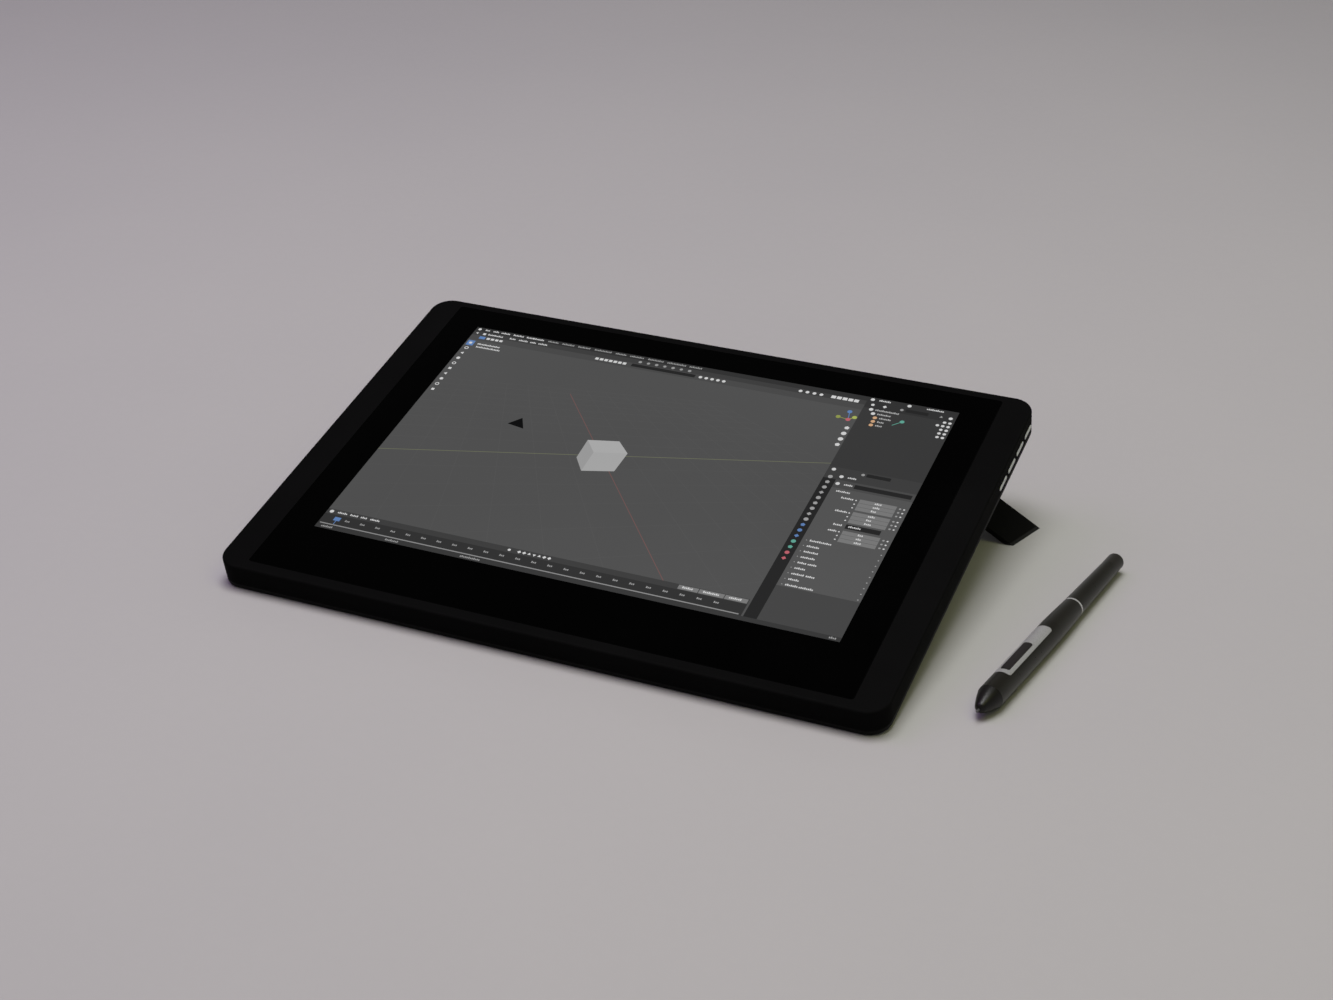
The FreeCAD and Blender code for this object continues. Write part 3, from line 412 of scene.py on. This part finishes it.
# the pen's finishes
barrelLook = {
    "dark": (20, 17, 13), "light": (27, 24, 19), "roughness": (0.28, 0.36), "fineness": 2400.0,
    "depth": 0.000003, "cloudiness": 70.0, "spread": 55.0, "smear": -0.06,
    "sockets": {"Specular IOR Level": 0.37, "Specular Tint": (0.93, 1.0, 0.84, 1.0)},
}
dress(["pen_front_barrel", "pen_rear_barrel"], mouldedMaterial("penBarrel", barrelLook))

coneLook = {
    "dark": (13, 11, 8), "light": (17, 15, 12), "roughness": (0.32, 0.4), "fineness": 2400.0,
    "depth": 0.000002, "cloudiness": 120.0,
    "sockets": {"Specular IOR Level": 0.27, "Coat Weight": 0.05, "Coat Roughness": 0.36},
}
dress(["pen_nose_cone"], mouldedMaterial("penCone", coneLook))

capLook = {
    "dark": (34, 32, 27), "light": (41, 39, 34), "roughness": (0.3, 0.38), "fineness": 2400.0,
    "depth": 0.000003, "cloudiness": 90.0, "sockets": {"Specular IOR Level": 0.3},
}
dress(["pen_end_cap"], mouldedMaterial("penCap", capLook))

plateLook = {
    "dark": (176, 176, 174), "light": (202, 202, 200), "roughness": (0.3, 0.42), "fineness": 1100.0,
    "stretch": (6.0, 0.6, 6.0), "depth": 0.000002, "sockets": {"Metallic": 0.55},
}
dress(["pen_switch_plate"], brushedMaterial("satinPlate", plateLook))

ringLook = {
    "dark": (196, 196, 194), "light": (222, 222, 220), "roughness": (0.2, 0.3), "fineness": 1500.0,
    "stretch": (1.0, 8.0, 1.0), "depth": 0.000002, "sockets": {"Metallic": 0.6},
}
dress(["pen_ring"], brushedMaterial("turnedRing", ringLook))

rockerLook = {
    "dark": (28, 24, 24), "light": (36, 32, 32), "roughness": (0.42, 0.52), "fineness": 2200.0,
    "depth": 0.00001, "cloudiness": 120.0, "sockets": {"Specular IOR Level": 0.25},
}
dress(["pen_rocker"], mouldedMaterial("penRocker", rockerLook))

nibLook = {
    "dark": (62, 61, 63), "light": (80, 79, 81), "roughness": (0.5, 0.6), "fineness": 1800.0,
    "depth": 0.000006, "cloudiness": 200.0,
}
dress(["pen_nib"], mouldedMaterial("nibPlastic", nibLook))
print("pen materials set")


# the picture on the lit screen: flat tiles just over the glass, with their colours in an attribute
# its places are millimetres over the lit area, from its front left corner
screenPlan = {
    "left": -133.0, "front": 37.8, "width": 266.0, "depth": 173.0, "level": 13.62, "step": 0.012,
    "side": 219.5, "tabs": 226.0, "row": 3.4, "status": 2.8, "timeline": 14.2, "outliner": 115.4,
    "canvas": (80, 80, 80), "band": (73, 73, 73), "bar": (50, 50, 50), "head": (62, 62, 62),
    "list": (57, 57, 57), "body": (84, 84, 84), "bodyLow": (69, 69, 69), "dark": (38, 38, 38),
    "field": (120, 120, 120), "mark": (208, 208, 208), "softMark": (152, 152, 152),
    "blue": (94, 128, 180), "orange": (206, 164, 126), "green": (96, 164, 148), "red": (188, 98, 108),
    "olive": (142, 150, 78), "lime": (168, 178, 92), "grid": (85, 85, 85), "lineAcross": (112, 115, 92),
    "lineAlong": (116, 84, 82), "statusBar": (56, 56, 56), "slider": (138, 138, 138), "tabRow": (74, 74, 74),
    "rowWords": (176, 176, 176), "tab": (158, 158, 158), "marker": (12, 12, 12),
}


def newPicture(plan):
    mesh = bmesh.new()
    return {"plan": plan, "mesh": mesh, "shade": mesh.loops.layers.float_color.new("shade")}


def paint(picture, verts, colour):
    for face in {face for vert in verts for face in vert.link_faces}:
        for loop in face.loops:
            loop[picture["shade"]] = tone(*colour)


def lay(picture, u, v, layer):
    plan = picture["plan"]
    return Vector((plan["left"] + u, plan["front"] + v, plan["level"] + layer * plan["step"]))


def tile(picture, u0, v0, u1, v1, colour, layer):
    place = Matrix.Translation(lay(picture, (u0 + u1) / 2, (v0 + v1) / 2, layer))
    size = Matrix.Diagonal((u1 - u0, v1 - v0, 1.0, 1.0))
    made = bmesh.ops.create_grid(picture["mesh"], x_segments=1, y_segments=1, size=0.5, matrix=place @ size)
    paint(picture, made["verts"], colour)


def disc(picture, u, v, radius, colour, layer, segments=16, turn=0.0):
    place = Matrix.Translation(lay(picture, u, v, layer)) @ Matrix.Rotation(turn, 4, "Z")
    made = bmesh.ops.create_circle(
        picture["mesh"], cap_ends=True, segments=segments, radius=radius, matrix=place
    )
    paint(picture, made["verts"], colour)


def stroke(picture, start, end, width, colour, layer):
    run = Vector(end) - Vector(start)
    middle = (Vector(start) + Vector(end)) / 2
    place = Matrix.Translation(lay(picture, middle.x, middle.y, layer))
    place = place @ Matrix.Rotation(math.atan2(run.y, run.x), 4, "Z")
    size = Matrix.Diagonal((run.length, width, 1.0, 1.0))
    made = bmesh.ops.create_grid(picture["mesh"], x_segments=1, y_segments=1, size=0.5, matrix=place @ size)
    paint(picture, made["verts"], colour)


def patch(picture, corners, colour, layer):
    verts = [picture["mesh"].verts.new(lay(picture, u, v, layer)) for u, v in corners]
    picture["mesh"].faces.new(verts)
    paint(picture, verts, colour)


# rows of short upright ticks, which read as lines of small print from a step away
tickPlan = {"width": 0.62, "gap": 0.26, "foot": 0.45, "heights": (1.25, 0.9, 1.0, 1.3, 0.85, 1.1, 0.95)}


def words(picture, u, v, lengths, gap, colour, layer):
    for length in lengths:
        place = u
        n = 0
        while place < u + length:
            height = tickPlan["heights"][(n + int(length * 3)) % len(tickPlan["heights"])]
            foot = v - tickPlan["foot"]
            tile(picture, place, foot, place + tickPlan["width"], foot + height, colour, layer)
            place += tickPlan["width"] + tickPlan["gap"]
            n += 1
        u += length + gap


# the view in the canvas: a ground with a box on it, in ground units, and a black marker in millimetres
canvasView = {
    "height": 6.05, "back": 9.6, "turn": 24.8, "pitch": 32.2, "zoom": 190.0, "centre": (110.0, 90.4),
    "block": 1.03, "light": (-0.5, -0.6, 0.64), "marker": ((53.7, 100.6), (63.3, 98.9), (59.0, 106.9)),
    "grid": 9, "far": 30, "near": 1.2, "steps": 24, "shaded": 100, "lit": 112,
}


def onCanvas(point):
    look = Matrix.Rotation(math.radians(canvasView["pitch"]), 4, "X")
    turn = Matrix.Rotation(math.radians(canvasView["turn"]), 4, "Z")
    away = turn @ Vector(point) + Vector((0, canvasView["back"], -canvasView["height"]))
    seen = look @ away
    u = canvasView["centre"][0] + canvasView["zoom"] * seen.x / seen.y
    v = canvasView["centre"][1] + canvasView["zoom"] * seen.z / seen.y
    return u, v, seen.y


def clipped(start, end, low, high):
    # the part of a line that lies in the canvas
    run = (end[0] - start[0], end[1] - start[1])
    enter, leave = 0.0, 1.0
    for axis in (0, 1):
        for side, limit in ((-1, low[axis]), (1, high[axis])):
            step = run[axis] * side
            room = (limit - start[axis]) * side
            if step == 0:
                if room < 0:
                    return None
            elif step > 0:
                leave = min(leave, room / step)
            else:
                enter = max(enter, room / step)
    if enter >= leave:
        return None
    return [(start[0] + run[0] * share, start[1] + run[1] * share) for share in (enter, leave)]


def groundLine(picture, a, b, width, colour, layer, low, high):
    steps = canvasView["steps"]
    points = [[a[n] + (b[n] - a[n]) * i / steps for n in range(3)] for i in range(steps + 1)]
    seen = [onCanvas(point) for point in points]
    seen = [(u, v) for u, v, away in seen if away > canvasView["near"]]
    if len(seen) < 2:
        return
    kept = clipped(seen[0], seen[-1], low, high)
    if kept:
        stroke(picture, kept[0], kept[1], width, colour, layer)


def drawCanvas(picture, plan):
    low = (0.0, plan["timeline"])
    high = (plan["side"], plan["depth"] - 2 * plan["row"])
    end, far = canvasView["grid"], canvasView["far"]
    for n in range(-end, end + 1):
        if n:
            groundLine(picture, (n, -end, 0), (n, end, 0), 0.2, plan["grid"], 1, low, high)
            groundLine(picture, (-end, n, 0), (end, n, 0), 0.2, plan["grid"], 1, low, high)
    groundLine(picture, (-far, 0, 0), (far, 0, 0), 0.38, plan["lineAcross"], 2, low, high)
    groundLine(picture, (0, -far, 0), (0, end - 1, 0), 0.34, plan["lineAlong"], 2, low, high)


def drawBlock(picture, plan):
    # a plain box, drawn as flat faces the way the canvas sees it
    block = bmesh.new()
    bmesh.ops.create_cube(block, size=canvasView["block"])
    block.normal_update()
    light = Vector(canvasView["light"]).normalized()
    for face in block.faces:
        level = canvasView["shaded"] + canvasView["lit"] * max(0.0, face.normal.dot(light))
        spots = [onCanvas(vert.co) for vert in face.verts]
        turn = sum(a[0] * b[1] - b[0] * a[1] for a, b in zip(spots, spots[1:] + spots[:1]))
        if turn > 0:
            patch(picture, [(u, v) for u, v, away in spots], (level, level, level), 4)
    block.free()
    patch(picture, canvasView["marker"], plan["marker"], 3)


def drawTopBars(picture, plan):
    top = plan["depth"]
    menu = top - plan["row"]
    head = menu - plan["row"]
    tile(picture, 0, menu, plan["width"], top, plan["bar"], 1)
    tile(picture, 0, head, plan["side"], menu, plan["head"], 1)
    tile(picture, 0, head - plan["row"] - 1, plan["side"], head, plan["band"], 1)
    middle = menu + plan["row"] / 2
    disc(picture, 2.2, middle, 1.0, plan["mark"], 2, 6)
    words(picture, 5.6, middle, (2.6, 2.8, 5.2, 5.8, 3.6), 2.0, plan["mark"], 2)
    words(picture, 34.0, middle, (5.6,), 0, plan["mark"], 2)
    words(picture, 42.6, middle, (5.6, 6.6, 7.0, 9.4, 5.6, 7.6, 8.2, 9.8, 6.4), 2.6, plan["softMark"], 2)
    middle = head + plan["row"] / 2
    disc(picture, 2.4, middle, 0.9, plan["mark"], 2, 3, math.pi / 2)
    tile(picture, 5.8, middle - 0.8, 7.4, middle + 0.8, plan["mark"], 2)
    words(picture, 8.8, middle, (8.2,), 0, plan["mark"], 2)
    words(picture, 21.6, middle, (3.4, 4.6, 2.8, 5.0), 2.0, plan["mark"], 2)
    for n in range(7):
        disc(picture, 97.0 + n * 4.6, middle, 0.95, plan["softMark"], 2, 6 if n % 2 else 12)
    for n in range(4):
        disc(picture, 185.0 + n * 3.7, middle, 1.0, plan["mark"], 2, 12)
    for n in range(5):
        tile(picture, 201.4 + n * 3.0, middle - 1.1, 203.8 + n * 3.0, middle + 1.1, plan["mark"], 2)
    middle = head - plan["row"] / 2
    tile(picture, 5.2, middle - 1.1, 8.6, middle + 1.1, plan["blue"], 2)
    for n in range(4):
        tile(picture, 9.6 + n * 2.5, middle - 0.8, 11.4 + n * 2.5, middle + 0.8, plan["mark"], 2)
    for n in range(7):
        tile(picture, 73.0 + n * 2.6, middle - 0.9, 74.9 + n * 2.6, middle + 0.9, plan["mark"], 2)
    tile(picture, 93.5, middle - 1.2, 129.0, middle + 1.2, plan["dark"], 2)
    for n in range(5):
        disc(picture, 132.0 + n * 3.2, middle, 1.0, plan["mark"], 2, 8)


def drawTools(picture, plan):
    tile(picture, 0.9, 156.6, 4.9, 161.0, plan["blue"], 1)
    words(picture, 7.0, 158.8, (12.4,), 0, plan["mark"], 2)
    words(picture, 7.4, 156.2, (14.0,), 0, plan["mark"], 2)
    for n, corners in enumerate((4, 16, 3, 6, 16, 4, 3, 5, 16, 4)):
        spot = 158.8 - n * 4.75
        turn = math.pi / 4 if corners == 4 else math.pi / 2
        disc(picture, 2.9, spot, 1.15, plan["mark"], 2, corners, turn)
        if corners == 16:
            disc(picture, 2.9, spot, 0.7, plan["canvas"], 3, 16)


def drawDials(picture, plan):
    middle = (215.6, 152.4)
    arms = ((-1.2, 6.2, "blue"), (-5.4, 0.9, "olive"), (2.6, 2.4, "lime"), (0, 0, "red"))
    for du, dv, shade in arms:
        colour = plan[shade]
        stroke(picture, middle, (middle[0] + du, middle[1] + dv), 0.4, colour, 2)
        disc(picture, middle[0] + du, middle[1] + dv, 1.25, colour, 3)
    for n in range(4):
        disc(picture, 217.4, 145.8 - n * 4.6, 1.35, plan["mark"], 2, 14 if n % 3 else 5)


def drawTimeline(picture, plan):
    top = plan["timeline"]
    head = top - 3.6
    tile(picture, 0, plan["status"], plan["side"] - 1.0, top, plan["bar"], 1)
    tile(picture, 0, head, plan["side"] - 1.0, top, plan["head"], 2)
    tile(picture, 0, 0, plan["width"], plan["status"], plan["statusBar"], 1)
    tile(picture, 1.0, plan["status"] + 0.4, plan["side"] - 2.4, plan["status"] + 1.1, plan["slider"], 2)
    middle = head + 1.8
    disc(picture, 2.6, middle, 1.1, plan["mark"], 3, 12)
    words(picture, 6.0, middle, (4.6, 3.6, 3.0, 4.4), 2.2, plan["mark"], 3)
    for n in range(24):
        words(picture, 12.6 + n * 8.3, 7.6, (2.6,), 0, plan["softMark"], 2)
    tile(picture, 6.4, 6.6, 9.8, 9.2, plan["blue"], 2)
    tile(picture, 7.9, 4.2, 8.3, 6.6, plan["blue"], 2)
    for n, corners in enumerate((4, 4, 3, 3, 3, 4, 4)):
        disc(picture, 103.6 + n * 2.6, middle, 1.0, plan["mark"], 3, corners, math.pi * (n % 2))
    disc(picture, 98.4, middle, 0.8, plan["mark"], 3, 10)
    for start, length in ((184.2, 9.8), (194.4, 12.2), (207.0, 11.0)):
        tile(picture, start, head + 0.4, start + length, top - 0.4, plan["field"], 3)
        words(picture, start + 2.0, middle, (length - 5.0,), 0, plan["mark"], 4)
    for start, length in ((3.0, 6.0), (38.0, 7.0), (78.0, 10.0), (260.5, 3.0)):
        words(picture, start, plan["status"] / 2, (length,), 0, plan["softMark"], 2)


def drawOutliner(picture, plan):
    left, right = plan["side"], plan["width"]
    listTop, menu, head = 164.4, 171.3, 167.2
    tile(picture, left, plan["outliner"], right, listTop, plan["list"], 1)
    tile(picture, left, listTop, right, plan["depth"] - plan["row"], plan["bar"], 1)
    disc(picture, 222.0, menu, 1.1, plan["mark"], 2, 8)
    words(picture, 225.4, menu, (5.6,), 0, plan["mark"], 2)
    disc(picture, 241.0, menu, 1.1, plan["mark"], 2, 8)
    words(picture, 250.0, menu, (8.4,), 0, plan["mark"], 2)
    disc(picture, 223.4, head, 1.0, plan["mark"], 2, 5)
    disc(picture, 229.6, head, 1.1, plan["mark"], 2, 4)
    disc(picture, 238.4, head, 0.9, plan["softMark"], 2, 10)
    tile(picture, 240.4, head - 1.2, 252.0, head + 1.2, plan["dark"], 2)
    disc(picture, 258.6, head, 1.0, plan["softMark"], 2, 3)
    disc(picture, 263.4, head, 1.1, plan["mark"], 2, 6)
    colours = (plan["mark"], plan["mark"], plan["orange"], plan["orange"], plan["orange"])
    for n, (colour, length) in enumerate(zip(colours, (11.6, 6.4, 5.4, 3.4, 3.2))):
        row = 163.4 - n * 3.0
        inset = min(n, 2) * 2.0
        disc(picture, 223.8 + inset, row, 1.15, colour, 3, 8)
        words(picture, 226.0 + inset, row, (length,), 0, plan["rowWords"], 3)
        for k in range(3 if n == 1 else 2):
            disc(picture, 264.2 - k * 2.7, row, 0.95, plan["mark"], 3, 6)
    stroke(picture, (237.6, 154.0), (241.4, 157.8), 0.4, plan["green"], 3)
    disc(picture, 241.6, 158.0, 1.2, plan["green"], 3, 10)


def drawProperties(picture, plan):
    left, right = plan["tabs"], plan["width"]
    bodyFoot, rowFoot, rowTop = 27.0, 100.4, 106.4
    tile(picture, plan["side"], plan["status"], left, plan["outliner"], plan["dark"], 1)
    tile(picture, left, plan["status"], right, bodyFoot, plan["bodyLow"], 1)
    tile(picture, left, bodyFoot, right, plan["outliner"], plan["body"], 1)
    tile(picture, plan["side"], rowTop, right, plan["outliner"], plan["head"], 2)
    tile(picture, left, rowFoot, right, rowTop, plan["tabRow"], 2)
    disc(picture, 222.4, 113.4, 1.1, plan["mark"], 3, 10)
    disc(picture, 237.2, 113.2, 0.9, plan["softMark"], 3, 10)
    tile(picture, 239.0, 112.0, 251.0, 114.4, plan["dark"], 3)
    for row in (109.0, 103.6):
        disc(picture, 227.8, row, 1.1, plan["mark"], 3, 8)
        words(picture, 231.0, row, (3.8,), 0, plan["mark"], 3)
    tile(picture, 236.2, 102.0, 264.6, 105.0, plan["dark"], 3)
    words(picture, 229.0, 98.2, (6.8,), 0, plan["mark"], 3)
    for top, label in ((95.6, 6.6), (86.0, 6.2), (71.8, 4.6)):
        for n in range(3):
            row = top - 1.5 - n * 2.8
            tile(picture, 242.0, row - 1.3, 260.2, row + 1.3, plan["field"], 3)
            words(picture, 249.6, row, (2.2 + (n + label) % 1.4,), 0, plan["mark"], 4)
            disc(picture, 240.4, row, 0.45, plan["mark"], 3, 8)
            disc(picture, 264.0, row, 0.5, plan["mark"], 3, 8)
            disc(picture, 262.0, row, 0.6, plan["softMark"], 3, 8)
        words(picture, 239.6 - label, top - 1.5, (label - 0.8,), 0, plan["mark"], 3)
    tile(picture, 242.0, 73.2, 259.0, 76.4, plan["dark"], 3)
    words(picture, 243.4, 74.8, (5.6,), 0, plan["mark"], 4)
    words(picture, 236.0, 74.8, (3.6,), 0, plan["mark"], 3)
    entries = ((3.6, 5.8), (5.4,), (6.6,), (6.2,), (4.0, 3.8), (5.2,), (6.0, 4.2), (4.6,), (5.6, 6.2))
    for n, lengths in enumerate(entries):
        row = 60.3 - n * 4.0
        disc(picture, 228.2, row, 0.45, plan["softMark"], 3, 3)
        words(picture, 229.8, row, lengths, 0.9, plan["mark"], 3)
        disc(picture, 264.4, row, 0.4, plan["softMark"], 3, 8)


def drawTabs(picture, plan):
    colours = [plan["tab"]] * 9 + [plan["blue"]] * 3 + [plan["green"]] * 2 + [plan["red"]] * 2
    for n, colour in enumerate(colours):
        disc(picture, 222.7, 107.6 - n * 4.15, 1.2, colour, 3, (12, 5, 8, 4)[n % 4])


def drawPicture(plan):
    picture = newPicture(plan)
    tile(picture, 0, 0, plan["width"], plan["depth"], plan["canvas"], 0)
    drawCanvas(picture, plan)
    drawBlock(picture, plan)
    drawTopBars(picture, plan)
    drawTools(picture, plan)
    drawDials(picture, plan)
    drawTimeline(picture, plan)
    drawOutliner(picture, plan)
    drawProperties(picture, plan)
    drawTabs(picture, plan)
    bmesh.ops.transform(
        picture["mesh"], matrix=tabletFrame @ Matrix.Scale(mm, 4), verts=picture["mesh"].verts
    )
    return picture["mesh"]


pictureLook = {
    "under": (4, 4, 5), "even": (0.93, 1.03), "fineness": 3000.0, "cloudiness": 5.0,
    "sockets": {"Roughness": 0.1, "Specular IOR Level": 0.1, "Emission Strength": 1.0},
}


def pictureMaterial(look):
    material, nodes, links, shader = newShader("litPicture", look["sockets"])
    shade = nodes.new("ShaderNodeVertexColor")
    shade.layer_name = "shade"
    grain = useGroup(nodes, "grain", {"Fineness": look["fineness"], "Cloudiness": look["cloudiness"]})
    dim = nodes.new("ShaderNodeMix")
    dim.data_type = "RGBA"
    dim.blend_type = "MULTIPLY"
    dim.inputs["Factor"].default_value = 1.0
    links.new(shade.outputs["Color"], dim.inputs[colourMix["first"]])
    low, high = look["even"]
    links.new(ranged(nodes, links, grain.outputs["Cloud"], low, high), dim.inputs[colourMix["second"]])
    links.new(dim.outputs[colourMix["result"]], shader.inputs["Emission Color"])
    shader.inputs["Base Color"].default_value = tone(*look["under"])
    return material


pictureMesh = drawPicture(screenPlan)
litPicture = pictureMaterial(pictureLook)
screenPicture = newPiece("screenPicture", pictureMesh, "tablet", litPicture)
print("screen picture drawn:", len(screenPicture.data.polygons), "tiles")


# floor, light and camera
floorLook = {
    "size": 5.0, "dark": (176, 174, 174), "light": (180, 178, 177), "roughness": (0.8, 0.9),
    "fineness": 160.0, "depth": 0.00001, "cloudiness": 2.0,
}


def buildFloor():
    mesh = bmesh.new()
    bmesh.ops.create_grid(mesh, x_segments=1, y_segments=1, size=floorLook["size"])
    data = bpy.data.meshes.new("studioFloor")
    mesh.to_mesh(data)
    mesh.free()
    floor = bpy.data.objects.new("studioFloor", data)
    bpy.context.scene.collection.objects.link(floor)
    data.materials.append(mouldedMaterial("paleFloor", floorLook))


buildFloor()

lampPlan = [
    {"name": "softTop", "place": (-0.02, -0.05, 2.2), "size": 1.2, "power": 36.0, "tint": (1.0, 1.0, 1.0)},
    {"name": "softLeft", "place": (-1.5, -0.3, 2.0), "size": 1.5, "power": 7.0, "tint": (1.0, 0.52, 1.4)},
    {"name": "softRight", "place": (1.2, -0.3, 2.0), "size": 1.0, "power": 5.5, "tint": (0.94, 1.0, 0.36)},
]
for plan in lampPlan:
    lamp = bpy.data.lights.new(plan["name"], "AREA")
    lamp.shape = "SQUARE"
    lamp.size = plan["size"]
    lamp.energy = plan["power"]
    lamp.color = plan["tint"]
    holder = bpy.data.objects.new(plan["name"], lamp)
    bpy.context.scene.collection.objects.link(holder)
    holder.location = plan["place"]
    holder.rotation_euler = Vector(plan["place"]).to_track_quat("Z", "Y").to_euler()

# a plain room: pale walls that turn darker towards the ceiling
worldPlan = {"walls": 0.34, "ceiling": 0.04, "from": 0.2, "to": 0.7}
world = bpy.data.worlds.new("studioWorld")
world.use_nodes = True
skyNodes, skyLinks = world.node_tree.nodes, world.node_tree.links
skyPlace = skyNodes.new("ShaderNodeTexCoord")
skyParts = skyNodes.new("ShaderNodeSeparateXYZ")
skyLinks.new(skyPlace.outputs["Generated"], skyParts.inputs["Vector"])
skyShade = ranged(skyNodes, skyLinks, skyParts.outputs["Z"], worldPlan["walls"], worldPlan["ceiling"],
                  worldPlan["from"], worldPlan["to"])
skyLinks.new(skyShade, skyNodes["Background"].inputs["Color"])
bpy.context.scene.world = world

cameraPlan = {
    "place": (0.3729, -0.8662, 0.5232), "pitch": 27.53, "yaw": 23.71, "lens": 60.0, "sensor": 36.0,
    "clip": 0.02,
}
camera = bpy.data.cameras.new("photoCamera")
camera.lens = cameraPlan["lens"]
camera.sensor_width = cameraPlan["sensor"]
camera.clip_start = cameraPlan["clip"]
cameraHolder = bpy.data.objects.new("photoCamera", camera)
bpy.context.scene.collection.objects.link(cameraHolder)
cameraHolder.location = cameraPlan["place"]
cameraHolder.rotation_euler = (math.radians(90 - cameraPlan["pitch"]), 0, math.radians(cameraPlan["yaw"]))
bpy.context.scene.camera = cameraHolder
bpy.context.scene.view_settings.view_transform = "Standard"
print("floor, lamps and camera placed")
